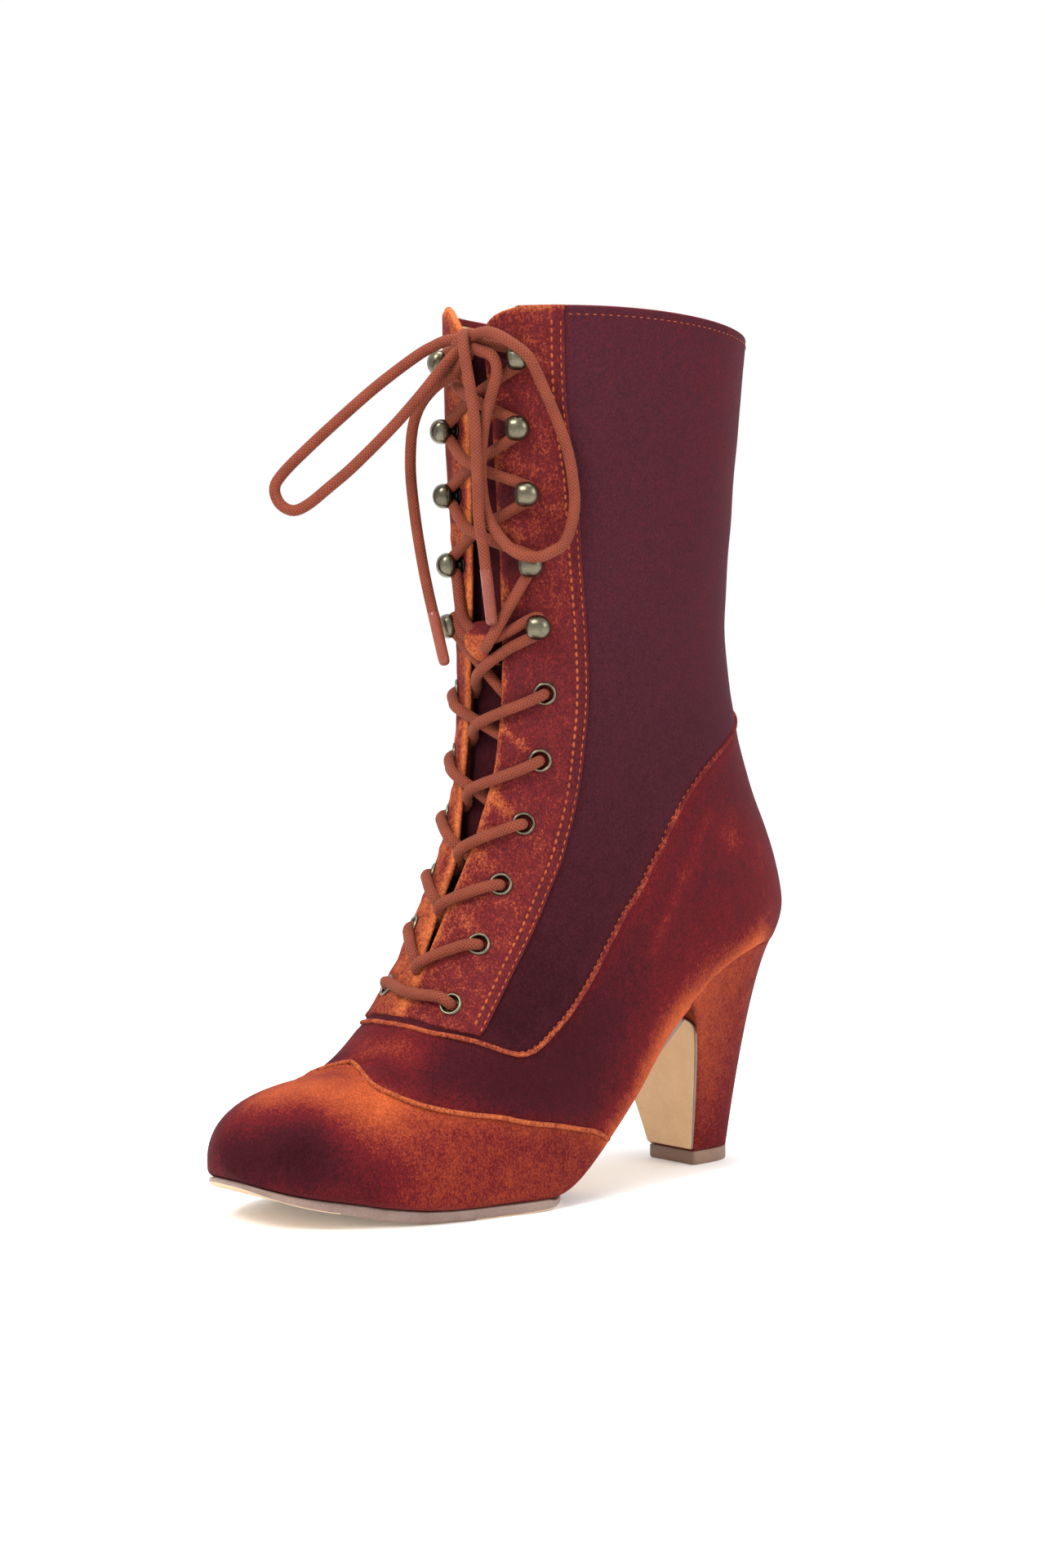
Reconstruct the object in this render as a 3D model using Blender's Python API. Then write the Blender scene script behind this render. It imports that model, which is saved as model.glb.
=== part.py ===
# Victorian lace-up boot for the left foot, with a covered heel, eyelets below and ball hooks above.
# Lengths are in millimetres and become metres when a mesh is made.
# +Z is up, the toe points to -Y, and the outer side of the foot is +X.
import math
from collections import namedtuple

import bmesh
import bpy
import numpy as np

MM = 0.001

# Middle of the standing boot's box on the floor, in the frame of the last
ORIGIN = np.array((1.33, 2.4, 0.0))

# Driving sizes
SHAFT_HEIGHT = 302.0
BALL_OUTER = 45.0
BALL_INNER = 41.0
HEEL_SEAT_HEIGHT = 77.0
HEEL_BACK_Y = 124.5
TOE_TIP_Y = -118.5
WALL = 2.0
GAP = 0.3
FACING_THICKNESS = 0.9
LACE_RADIUS = 1.95

# Toe dome: height of its tip, how full it is from above and from the side, how square the sole's edge is,
# how far the sole rises and how far the tip turns inward
TOE_TIP_Z = 24.0
TOE_FULLNESS = 0.3
TOE_TOP_FULLNESS = 0.55
TOE_UNDER = 4.0
TOE_SPRING = 5.5
TOE_INWARD = 1.5

# Sections of the last. Each is a plane from the front line to the back line, with an outer and an inner
# half width, the share of its length where it is widest, the roundness of both ends and its bow.
Section = namedtuple(
    "Section",
    "front_y front_z back_y back_z lateral medial centre widest front_power back_power bow")
SECTIONS = (
    Section(-90.0, 44.0, -90.0, 8.2, 36.0, 32.5, -1.5, 0.72, 2.0, 6.0, 0.0),
    Section(-68.0, 48.8, -66.0, 4.2, 42.5, 38.5, -0.5, 0.76, 2.0, 8.0, 0.0),
    Section(-48.0, 65.5, -38.0, 3.0, BALL_OUTER, BALL_INNER, 0.0, 0.78, 2.0, 9.0, 0.0),
    Section(-39.3, 81.0, -8.0, 3.2, 45.0, 38.5, 0.0, 0.76, 2.0, 9.0, 0.0),
    Section(-33.2, 93.3, 22.0, 21.5, 39.0, 35.0, 0.0, 0.68, 2.1, 8.0, 0.0),
    Section(-27.8, 104.0, 52.0, 49.5, 35.0, 33.5, 0.0, 0.62, 2.2, 6.0, 0.0),
    Section(-23.0, 113.0, 78.0, 69.0, 34.0, 33.0, 0.0, 0.59, 2.3, 5.0, 0.0),
    Section(-20.0, 121.0, 102.0, HEEL_SEAT_HEIGHT, 33.5, 33.0, 0.0, 0.57, 2.4, 3.8, 0.0),
    Section(-18.0, 129.0, 116.0, 80.5, 33.5, 33.0, 0.0, 0.55, 2.4, 2.7, 0.0),
    Section(-16.0, 136.0, HEEL_BACK_Y, 93.0, 34.0, 33.5, 0.0, 0.54, 2.4, 2.1, 0.0),
    Section(-14.0, 145.0, 118.0, 113.0, 34.5, 34.0, 0.0, 0.53, 2.4, 2.1, 0.0),
    Section(-12.0, 157.0, 105.5, 138.0, 35.5, 35.0, 0.0, 0.52, 2.4, 2.1, 0.0),
    Section(-10.5, 172.0, 96.0, 163.0, 37.0, 36.5, 0.0, 0.52, 2.3, 2.1, 0.0),
    Section(-11.0, 195.0, 91.0, 192.0, 39.0, 38.5, 0.0, 0.52, 2.2, 2.1, 0.0),
    Section(-13.0, 225.0, 91.0, 224.0, 41.0, 40.5, 0.0, 0.52, 2.1, 2.1, 0.0),
    Section(-15.0, 260.0, 94.0, 257.0, 43.0, 42.5, 0.0, 0.52, 2.1, 2.1, 1.0),
    Section(-16.0, SHAFT_HEIGHT, 98.0, SHAFT_HEIGHT - 9.0, 44.5, 44.0, 0.0, 0.52, 2.1, 2.1, 3.0),
)
COLLAR = len(SECTIONS) - 1
STEPS_PER_SECTION = 20
STEPS_HALFWAY = 80
CURVE_STEPS = 24
SEAM_SAMPLES = 600

# Feather line, where the upper turns under: share of the half width, drawing in round the back of the heel
Feather = namedtuple("Feather", "station width")
FEATHER = (
    Feather(4.0, 0.955),
    Feather(5.0, 0.95),
    Feather(6.0, 0.91),
    Feather(7.0, 0.82),
    Feather(8.0, 0.56),
    Feather(8.4, 0.36),
)
HEEL_BACK_STATION = FEATHER[-1].station
SHAFT_STATION = 10.0
SHAFT_FEATHER = 0.86
# The side wall begins to turn at this share of the half width. From the heel on, the grid's columns
# crowd toward the back instead.
CORNER_WIDTH = 0.99
CORNER_STATIONS = (4.9, 6.4)
BACK_CROWDING = 1.5
# The turned edge ends at this share of the way from the feather line to the middle of the underside
TURNED_SHARE = 0.35

# Stations shared by the upper and the pieces that lie on it
STATIONS = (
    -1.0, -0.95, -0.85, -0.7, -0.52, -0.35, -0.18, 0.0, 0.4, 0.8, 1.2, 1.6, 2.0, 2.4, 2.75, 3.0, 3.3,
    3.6, 4.0, 4.4, 4.9, 5.33, 5.45, 5.9, 6.4, 6.9, 7.4, 7.9, 8.35, 9.0, 9.7, 10.5, 11.2, 11.9, 12.6,
    13.3, 14.1, 15.0, 15.8, 16.0)
SOLE_END_STATION = 5.33
BREAST_STATION = 5.45
HEEL_END_STATION = 8.35
OPEN_UNDERNEATH = (-0.52, 7.4)

# Throat and eyestay: the slit's outer and inner edge, both as distances to the outer side of the front line,
# and the rear edge of the facing on either side
Throat = namedtuple("Throat", "station outer inner rear")
THROAT = (
    Throat(2.75, 4.0, 2.8, 37.0),
    Throat(4.0, 5.0, 2.0, 36.0),
    Throat(6.0, 5.2, 0.4, 36.2),
    Throat(7.5, 6.9, -1.9, 38.0),
    Throat(9.0, 8.1, -4.2, 38.7),
    Throat(10.3, 9.3, -6.2, 39.3),
    Throat(12.3, 9.6, -7.4, 39.7),
    Throat(13.0, 10.0, -5.6, 39.4),
    Throat(13.7, 10.5, -3.2, 38.7),
    Throat(14.6, 10.5, -1.2, 38.3),
    Throat(15.2, 9.8, -1.0, 35.8),
    Throat(15.8, 6.6, -1.8, 35.4),
    Throat(16.0, 14.5, -13.0, 35.6),
)
SLIT_STATION = THROAT[0].station
FACING_COLUMNS = 4
SIDE_COLUMNS = 5
FACING_ABOVE_SEAM = 0.14
FACING_GAP = 0.7

# Panel seams, as the station and the share of the way around from the front line to the back line
Seam = namedtuple("Seam", "station around")
QUARTER_SEAM = (
    Seam(1.76, 0.0),
    Seam(1.80, 0.07),
    Seam(1.93, 0.155),
    Seam(2.20, 0.220),
    Seam(2.48, 0.268),
    Seam(2.75, 0.312),
    Seam(2.95, 0.343),
    Seam(3.14, 0.367),
    Seam(3.42, 0.389),
    Seam(3.88, 0.413),
    Seam(4.43, 0.436),
    Seam(4.95, 0.447),
    Seam(5.65, 0.440),
    Seam(6.8, 0.420),
    Seam(8.3, 0.416),
    Seam(9.38, 0.443),
    Seam(10.2, 0.498),
    Seam(10.83, 0.575),
    Seam(11.3, 0.660),
    Seam(11.68, 0.758),
    Seam(12.0, 0.880),
    Seam(12.1, 1.0),
)
TOE_SEAM = (
    Seam(1.06, 0.0),
    Seam(0.84, 0.160),
    Seam(0.98, 0.255),
    Seam(1.28, 0.335),
    Seam(1.77, 0.408),
    Seam(2.42, 0.470),
    Seam(3.08, 0.542),
    Seam(3.58, 0.645),
    Seam(3.72, 0.700),
)
# Piping: points along half of each seam, and its profile as shares of the width and the height
QUARTER_PIPING_POINTS = 42
TOE_PIPING_POINTS = 24
PIPING_PROFILE = ((-0.5, 0.0), (-0.3, 0.9), (0.3, 0.9), (0.5, 0.0))
PIPING_WIDTH = 2.2
PIPING_HEIGHT = 1.4
PIPING_GAP = 0.5

# Eyelets and ball hooks, as station and distance around from the front line on the outer and the inner side
Fitting = namedtuple("Fitting", "station outer inner")
EYELETS = (
    Fitting(2.56, 21.6, 12.4),
    Fitting(4.04, 21.6, 11.0),
    Fitting(5.72, 20.3, 14.2),
    Fitting(8.28, 22.4, 16.2),
    Fitting(10.56, 24.9, 18.6),
    Fitting(12.04, 25.1, 21.4),
)
HOOKS = (
    Fitting(13.0, 24.2, 12.6),
    Fitting(13.72, 22.9, 10.6),
    Fitting(14.44, 22.9, 10.6),
    Fitting(15.04, 21.0, 10.6),
    Fitting(15.6, 21.7, 11.6),
)
FITTING_LIFT = FACING_GAP + FACING_THICKNESS + GAP
FITTING_SIDES = 8
# Turned profiles: radius and height above the facing
EYELET_PROFILE = ((2.8, 0.0), (4.0, 0.0), (3.7, 0.8), (2.95, 0.8))
HOOK_PROFILE = (
    (0.0, 0.0), (2.9, 0.0), (2.8, 0.5), (1.3, 0.8), (1.3, 2.1),
    (3.6, 2.6), (4.3, 4.2), (3.3, 6.7), (0.0, 7.9))

# Sole, heel and top piece
SoleBottom = namedtuple("SoleBottom", "station height")
SOLE_BOTTOM = (
    SoleBottom(-1.0, 13.0),
    SoleBottom(-0.6, 9.8),
    SoleBottom(-0.3, 6.8),
    SoleBottom(0.0, 4.6),
    SoleBottom(0.5, 2.0),
    SoleBottom(1.0, 0.6),
    SoleBottom(1.4, 0.0),
    SoleBottom(3.0, 0.0),
)
SOLE_FLAT_END = SOLE_BOTTOM[-1].station
WAIST_THICKNESS = 2.8
SOLE_END_THICKNESS = 1.5
# The edge stands out at the forefoot and is tucked under the upper at the waist
EDGE_STATIONS = (2.6, 3.6)
FOREFOOT_OVERHANG = 1.2
WAIST_OVERHANG = 0.2
WAIST_TUCK = 0.2
HEEL_LEVELS = (0.12, 0.28, 0.5, 0.75, 1.0)
HEEL_FLARE = 0.65
TOP_PIECE_HEIGHT = 5.0
TOP_PIECE_FRONT_Y = 78.0
TOP_PIECE_BACK_Y = 101.0
TOP_PIECE_HALF_WIDTH = 11.6
TOP_PIECE_ROUND = 2.6
BREAST_THICKNESS = 1.4
BREAST_GAP = 0.5
BREAST_SHARE = 0.97
BREAST_TOP_SHARE = 0.55
BREAST_ROWS = (0.1, 0.115, 0.14, 0.19, 0.3, 0.5, 0.75, 0.985)
BREAST_ROUND_END = 0.19

# Insole and tongue
INSOLE_THICKNESS = 1.8
INSOLE_CLEARANCE = WALL + 0.5
INSOLE_RANGE = (-0.85, 7.4)
TONGUE_THICKNESS = 1.8
TONGUE_CLEARANCE = WALL + 1.0
TONGUE_RANGE = (3.0, 15.8)
TONGUE_HALF_WIDTH = 21.0
TONGUE_FOOT_HALF_WIDTH = 13.0
TONGUE_COLUMNS = 7
# Ribbed loop on the tongue that keeps the lace in line
LOOP_STATIONS = (12.55, 12.8, 13.05)
LOOP_SIDES = (-3.8, 1.9, 7.6)
LOOP_LIFT = (-2.5, -1.2)

# Lace: lift of its middle over the upper, how far it stays from eyelets and hooks, and its crossings
LACE_LIFT = 3.95
LACE_BAR_LIFT = 4.2
EYELET_CLEARANCE = 4.7
HOOK_CLEARANCE = 6.2
CROSSING_LIFT = 0.5
LACE_SIDES = 6
ARM_POINTS = 4
CROSS_POINTS = 7
# Where the arms of each row meet over the throat, from the second row to the lowest hooks
Meeting = namedtuple("Meeting", "station distance")
MEETINGS = (
    Meeting(2.86, 3.2),
    Meeting(4.5, 3.4),
    Meeting(6.6, 3.0),
    Meeting(9.3, 2.2),
    Meeting(11.3, 1.2),
    Meeting(12.35, 1.2),
)

# Knot and bow. Routes over the upper are station, distance from the front line and lift.
Route = namedtuple("Route", "station distance lift")
KNOT = Route(15.73, 5.0, 6.2)
KNOT_HALF_SIZE = (5.2, 4.0, 4.6)
KNOT_SIDE = 6.0
KNOT_SIDE_LIFT = 4.1
OUTER_LOOP = (
    Route(15.80, 11.4, 8.8),
    Route(15.79, 15.8, 10.2),
    Route(15.72, 20.6, 11.0),
    Route(15.60, 25.6, 10.8),
    Route(15.42, 28.4, 7.2),
    Route(15.12, 32.7, 4.5),
    Route(14.88, 35.5, 4.2),
    Route(14.63, 36.9, 4.2),
    Route(14.30, 37.0, 4.4),
    Route(13.97, 33.6, 6.6),
    Route(13.86, 29.4, 9.6),
    Route(13.81, 25.7, 11.5),
    Route(13.84, 21.3, 11.7),
    Route(13.95, 17.2, 10.6),
    Route(14.20, 12.2, 9.2),
    Route(14.53, 10.4, 8.9),
    Route(14.83, 10.8, 8.9),
    Route(15.10, 12.3, 8.9),
    Route(15.33, 14.6, 8.9),
    Route(15.45, 16.0, 8.9),
    Route(15.55, 16.1, 9.0),
    Route(15.62, 14.7, 9.0),
    Route(15.655, 11.4, 8.6),
)
FRONT_END = (
    Route(15.66, 8.2, 12.8),
    Route(15.50, 9.4, 13.2),
    Route(15.30, 10.6, 13.3),
    Route(15.05, 11.4, 13.3),
    Route(14.80, 11.4, 13.2),
    Route(14.50, 11.3, 13.2),
    Route(14.20, 11.2, 13.4),
    Route(13.92, 11.3, 11.8),
    Route(13.68, 11.4, 11.1),
)
INNER_END = (
    Route(15.50, 1.6, 9.0),
    Route(15.44, -2.2, 10.6),
    Route(15.36, -6.2, 12.2),
    Route(15.25, -10.3, 13.5),
    Route(15.10, -13.0, 14.6),
    Route(14.90, -14.4, 15.2),
    Route(14.63, -15.4, 15.2),
    Route(14.20, -15.1, 14.4),
    Route(13.78, -12.9, 13.7),
    Route(13.45, -10.6, 13.3),
    Route(13.18, -8.5, 13.1),
)
# The inner loop stands free: distances from the knot outward, upward and toward the front
Reach = namedtuple("Reach", "outward up forward")
INNER_LOOP_OUTWARD = np.array((-0.8, -0.6, 0.0))
INNER_LOOP_FORWARD = np.array((0.6, -0.8, 0.0))
INNER_LOOP = (
    Reach(7.6, 1.0, -0.8),
    Reach(12.0, -0.6, -1.4),
    Reach(18.7, -4.2, -1.6),
    Reach(32.3, -13.9, -1.5),
    Reach(45.9, -25.2, -1.2),
    Reach(57.0, -35.0, -0.8),
    Reach(65.2, -43.0, -0.2),
    Reach(68.3, -48.1, 0.2),
    Reach(66.5, -53.4, 0.7),
    Reach(61.6, -56.0, 1.2),
    Reach(56.0, -54.0, 1.6),
    Reach(48.0, -48.0, 2.2),
    Reach(39.3, -41.0, 2.6),
    Reach(25.7, -28.2, 3.0),
    Reach(16.2, -18.1, 3.4),
    Reach(9.6, -10.4, 3.6),
)
CORD_SPACING = 9.0
CORD_BEVEL_STEPS = 2
AGLET_PROFILE = ((0.0, 0.0), (1.8, 0.0), (1.8, 16.0), (1.2, 18.0), (0.0, 18.0))


# Clear the scene and set up the shared surface of the last

for old in list(bpy.data.objects):
    bpy.data.objects.remove(old, do_unlink=True)


def column_of(table, station, name):
    stations = [row.station for row in table]
    return np.interp(station, stations, [getattr(row, name) for row in table])


def section_at(station):
    rows = np.array(SECTIONS)
    low = int(min(max(math.floor(station), 0), COLLAR - 1))
    share = station - low
    start, end = rows[low], rows[low + 1]
    before = rows[low - 1] if low > 0 else 2 * start - end
    after = rows[low + 2] if low + 2 <= COLLAR else 2 * end - start
    square = share * share
    cube = square * share
    value = (2 * cube - 3 * square + 1) * start + (3 * square - 2 * cube) * end
    value = value + (cube - 2 * square + share) * (end - before) / 2 + (cube - square) * (after - start) / 2
    return Section(*value)


def toe_section(reach):
    first = section_at(0.0)
    forward = math.sin(reach * math.pi / 2)
    close = math.sqrt((1 - forward) * (1 + TOE_FULLNESS * forward))
    close_top = math.sqrt((1 - forward) * (1 + TOE_TOP_FULLNESS * forward))
    close_under = (1 - forward ** TOE_UNDER) ** (1 / TOE_UNDER)
    y = first.front_y + (TOE_TIP_Y - first.front_y) * forward
    under = first.back_z + TOE_SPRING * forward
    return first._replace(
        front_y=y, back_y=y,
        front_z=TOE_TIP_Z + (first.front_z - TOE_TIP_Z) * close_top,
        back_z=TOE_TIP_Z + (under - TOE_TIP_Z) * close_under,
        lateral=first.lateral * close, medial=first.medial * close,
        centre=first.centre - TOE_INWARD * forward)


def half_section(section, side):
    # Points from the front line to the back line on one side, with the length along them
    width = section.lateral if side > 0 else section.medial
    angle = np.linspace(0.0, math.pi / 2, STEPS_HALFWAY)
    sine, cosine = np.sin(angle), np.cos(angle).clip(0.0)
    front, back = 2 / section.front_power, 2 / section.back_power
    along = np.concatenate((
        section.widest * (1 - cosine ** front),
        section.widest + (1 - section.widest) * sine[1:] ** back))
    out = width * np.concatenate((sine ** front, cosine[1:] ** back))
    points = np.stack((
        section.centre + side * out,
        section.front_y + (section.back_y - section.front_y) * along,
        section.front_z + (section.back_z - section.front_z) * along
        + 4 * section.bow * along * (1 - along)), axis=-1)
    length = np.concatenate(([0.0], np.cumsum(np.linalg.norm(np.diff(points, axis=0), axis=1))))
    return points, length


def share_at_width(section, length, width_share):
    # Share of the way around where the section has narrowed to a share of its half width, on its lower part
    angle = math.acos(width_share ** (section.back_power / 2))
    index = STEPS_HALFWAY - 1 + angle / (math.pi / 2) * (STEPS_HALFWAY - 1)
    return np.interp(index, np.arange(len(length)), length) / length[-1]


def build_last():
    stations = np.linspace(-1.0, COLLAR, (COLLAR + 1) * STEPS_PER_SECTION + 1)
    shares = np.linspace(0.0, 1.0, STEPS_HALFWAY + 1)
    table = {"points": [], "length": [], "feather": [], "corner": []}
    for station in stations:
        section = section_at(station) if station >= 0 else toe_section(-station)
        halves, lengths, feather, corner = [], [], [], []
        for side in (-1, 1):
            points, length = half_section(section, side)
            length = np.maximum(length, np.arange(len(length)) * 1e-9)
            at = shares * length[-1]
            halves.append(np.stack([np.interp(at, length, points[:, axis]) for axis in range(3)], axis=-1))
            lengths.append(length[-1])
            feather.append(share_at_width(section, length, column_of(FEATHER, station, "width")))
            corner.append(share_at_width(section, length, CORNER_WIDTH))
        table["points"].append(np.concatenate((halves[0][::-1], halves[1][1:])))
        table["length"].append(lengths)
        table["feather"].append(feather)
        table["corner"].append(corner)
    last = {key: np.array(value) for key, value in table.items()}
    last["stations"] = stations
    points = last["points"]
    along = np.gradient(points, axis=0)
    ring = np.concatenate((points[:, -2:-1], points, points[:, 1:2]), axis=1)
    normal = np.cross(ring[:, 2:] - ring[:, :-2], along)
    normal[0] = (0.0, -1.0, 0.0)
    last["normals"] = normal / np.linalg.norm(normal, axis=-1, keepdims=True)
    return last


LAST = build_last()


def skin(station, around, lift=0.0):
    # Points of the upper's outer face. Around runs from -1 at the back, by the inner side, to 1 by the outer.
    station, around, lift = np.broadcast_arrays(
        np.asarray(station, float), np.asarray(around, float), np.asarray(lift, float))
    row = np.interp(station, LAST["stations"], np.arange(len(LAST["stations"])))
    column = (np.clip(around, -1.0, 1.0) + 1) * STEPS_HALFWAY
    r = np.minimum(row.astype(int), len(LAST["stations"]) - 2)
    c = np.minimum(column.astype(int), 2 * STEPS_HALFWAY - 1)
    u, v = (row - r)[..., None], (column - c)[..., None]

    def sample(grid):
        near = grid[r, c] * (1 - v) + grid[r, c + 1] * v
        far = grid[r + 1, c] * (1 - v) + grid[r + 1, c + 1] * v
        return near * (1 - u) + far * u

    normal = sample(LAST["normals"])
    normal = normal / np.linalg.norm(normal, axis=-1, keepdims=True)
    return sample(LAST["points"]) + normal * lift[..., None]


def skin_normal(station, around):
    return skin(station, around, 1.0) - skin(station, around)


def by_side(key, station, side):
    column = 1 if side > 0 else 0
    return np.interp(station, LAST["stations"], LAST[key][:, column])


def around_at(station, distance):
    # Share of the way around for a distance measured along the section from the front line
    side = 1 if distance >= 0 else -1
    return distance / by_side("length", station, side)


def feather(station, side):
    # Share of the way around where the upper meets the sole; above the heel it is only a grid column
    share = by_side("feather", min(station, HEEL_BACK_STATION), side)
    return np.interp(station, (HEEL_BACK_STATION, SHAFT_STATION), (share, SHAFT_FEATHER))


def side_columns(station, rear, side):
    # Shares from the facing to the feather line, with a column where the foot's wall begins to turn under
    under = feather(station, side)
    corner = by_side("corner", min(station, CORNER_STATIONS[1]), side)
    foot = np.append(np.linspace(rear, corner, SIDE_COLUMNS), under)
    crowded = 1 - (1 - np.linspace(0.0, 1.0, SIDE_COLUMNS + 1)) ** BACK_CROWDING
    back = rear + (under - rear) * crowded
    heel = np.interp(station, CORNER_STATIONS, (0.0, 1.0))
    return foot * (1 - heel) + back * heel


def turned_edge(station, side):
    share = feather(station, side)
    return share + (1 - share) * TURNED_SHARE


# Mesh helpers


def material(name, colour, roughness, metallic=0.0):
    made = bpy.data.materials.new(name)
    made.use_nodes = True
    shader = made.node_tree.nodes["Principled BSDF"]
    shader.inputs["Base Color"].default_value = (*colour, 1.0)
    shader.inputs["Roughness"].default_value = roughness
    shader.inputs["Metallic"].default_value = metallic
    made.diffuse_color = (*colour, 1.0)
    return made


def finish(name, mesh, finish_material):
    made = bpy.data.objects.new(name, mesh)
    bpy.context.scene.collection.objects.link(made)
    mesh.materials.append(finish_material)
    mesh.shade_smooth()
    mesh.set_sharp_from_angle(angle=math.radians(40))
    return made


def solid(name, points, faces, finish_material):
    mesh = bpy.data.meshes.new(name)
    mesh.from_pydata(((np.asarray(points).reshape(-1, 3) - ORIGIN) * MM).tolist(), [], faces)
    work = bmesh.new()
    work.from_mesh(mesh)
    loose = [vertex for vertex in work.verts if not vertex.link_faces]
    bmesh.ops.delete(work, geom=loose, context="VERTS")
    bmesh.ops.recalc_face_normals(work, faces=work.faces)
    if work.calc_volume(signed=True) < 0:
        bmesh.ops.reverse_faces(work, faces=work.faces)
    work.to_mesh(mesh)
    work.free()
    return finish(name, mesh, finish_material)


def grid_faces(rows, columns, closed=False, tip=False, keep=None):
    # Triangles of a grid of points, all split the same way so that neighbouring layers stay parallel.
    # A closed grid wraps round its columns, and a tip is a first row of one point.
    def index(row, column):
        return 0 if tip and row == 0 else row * columns + column % columns

    faces = []
    for row in range(rows - 1):
        for column in range(columns if closed else columns - 1):
            if keep is None or keep(row, column):
                a, b = index(row, column), index(row, column + 1)
                c, d = index(row + 1, column + 1), index(row + 1, column)
                faces.append((a, c, d))
                if a != b:
                    faces.append((a, b, c))
    return faces


def thicken(faces, count):
    # A wall: the faces, the same faces on the second layer of points, and a rim along every open edge
    edges = {(a, b) for face in faces for a, b in zip(face, face[1:] + face[:1])}
    second = [tuple(i + count for i in reversed(face)) for face in faces]
    rim = [(b, a, a + count, b + count) for a, b in edges if (b, a) not in edges]
    return faces + second + sorted(rim)


def wall(name, outer, inner, finish_material, **grid):
    rows, columns = outer.shape[:2]
    faces = thicken(grid_faces(rows, columns, **grid), rows * columns)
    return solid(name, np.concatenate((outer.reshape(-1, 3), inner.reshape(-1, 3))), faces, finish_material)


def smooth_curve(points, count):
    # Evenly spread points on a Catmull-Rom curve through the given points
    points = np.asarray(points, float)
    padded = np.concatenate((2 * points[:1] - points[1:2], points, 2 * points[-1:] - points[-2:-1]))
    fine = []
    for a, b, c, d in zip(padded, padded[1:], padded[2:], padded[3:]):
        for s in np.linspace(0.0, 1.0, CURVE_STEPS, endpoint=False):
            fine.append(0.5 * (2 * b + (c - a) * s + (2 * a - 5 * b + 4 * c - d) * s * s
                               + (3 * b - a - 3 * c + d) * s ** 3))
    fine = np.array(fine + [points[-1]])
    length = np.concatenate(([0.0], np.cumsum(np.linalg.norm(np.diff(fine, axis=0), axis=1))))
    at = np.linspace(0.0, length[-1], count)
    return np.stack([np.interp(at, length, fine[:, axis]) for axis in range(fine.shape[1])], axis=-1)


def tube_mesh(path, radius, sides):
    # Rings square to the path, carried along without twist, with a flat cap on each end
    path = np.asarray(path)
    tangent = np.gradient(path, axis=0)
    tangent /= np.linalg.norm(tangent, axis=1, keepdims=True)
    across = np.cross(tangent[0], skin_normal(KNOT.station, 0.0))
    points = []
    for centre, direction in zip(path, tangent):
        across = across - direction * across.dot(direction)
        across /= np.linalg.norm(across)
        other = np.cross(direction, across)
        for turn in np.arange(sides) * 2 * math.pi / sides:
            points.append(centre + radius * (math.cos(turn) * across + math.sin(turn) * other))
    faces = grid_faces(len(path), sides, closed=True)
    faces.append(tuple(range(sides)))
    faces.append(tuple(range((len(path) - 1) * sides, len(path) * sides)))
    return np.array(points), faces


def turned(name, profile, centre, axis, finish_material):
    # A profile of radius and height turned about an axis; a radius of zero closes it on the axis
    across = np.cross(axis, (0.0, 0.0, 1.0))
    across /= np.linalg.norm(across)
    other = np.cross(axis, across)
    points, ring_of = [], []
    for radius, height in profile:
        count = FITTING_SIDES if radius > 0 else 1
        ring_of.append((len(points), count))
        for turn in np.arange(count) * 2 * math.pi / FITTING_SIDES:
            outward = math.cos(turn) * across + math.sin(turn) * other
            points.append(centre + axis * height + outward * radius)
    pairs = list(zip(ring_of, ring_of[1:]))
    if profile[0][0] > 0:
        pairs.append((ring_of[-1], ring_of[0]))
    faces = []
    for (low, low_count), (high, high_count) in pairs:
        for k in range(FITTING_SIDES):
            corners = (low + k % low_count, low + (k + 1) % low_count,
                       high + (k + 1) % high_count, high + k % high_count)
            faces.append(tuple(dict.fromkeys(corners)))
    return solid(name, points, faces, finish_material)


# Upper, facing and piping


def stations_between(low, high):
    return [station for station in STATIONS if low <= station <= high]


def slit_edge(station, side):
    return column_of(THROAT, station, "outer" if side > 0 else "inner")


def slit_middle(station):
    middle = (slit_edge(station, 1) + slit_edge(station, -1)) / 2
    return around_at(max(station, SLIT_STATION), middle)


def facing_columns(station, side):
    # Shares from the edge of the throat to the rear edge of the facing, which stay the same below the slit
    places = np.linspace(slit_edge(station, side), side * column_of(THROAT, station, "rear"), FACING_COLUMNS)
    return np.array([around_at(max(station, SLIT_STATION), place) for place in places])


def upper_columns(station):
    # Shares of the way around one section, from the back line by the inner side and back by the outer
    half = {}
    for side in (-1, 1):
        front = facing_columns(station, side)
        back = side_columns(station, abs(front[-1]), side)
        half[side] = np.concatenate((front, side * back[1:], [side * turned_edge(station, side), side]))
    return np.concatenate((half[-1][::-1], [slit_middle(station)], half[1][:-1]))


def facet_point(station, around):
    # The point of the upper's own facets at a station and a share of the way around
    row = min(max(np.searchsorted(STATIONS, station, side="right") - 1, 0), len(STATIONS) - 2)
    low, high = STATIONS[row], STATIONS[row + 1]
    u = (station - low) / (high - low)
    near, far = upper_columns(low), upper_columns(high)
    ring = np.append(near * (1 - u) + far * u, 1.0)
    column = min(max(np.searchsorted(ring, around, side="right") - 1, 0), len(ring) - 2)
    v = (around - ring[column]) / (ring[column + 1] - ring[column])
    near, far = np.append(near, 1.0), np.append(far, 1.0)
    a, b = skin(low, near[column]), skin(low, near[column + 1])
    c, d = skin(high, far[column + 1]), skin(high, far[column])
    if v >= u:
        return a + v * (b - a) + u * (c - b)
    return a + u * (d - a) + v * (c - d)


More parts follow.
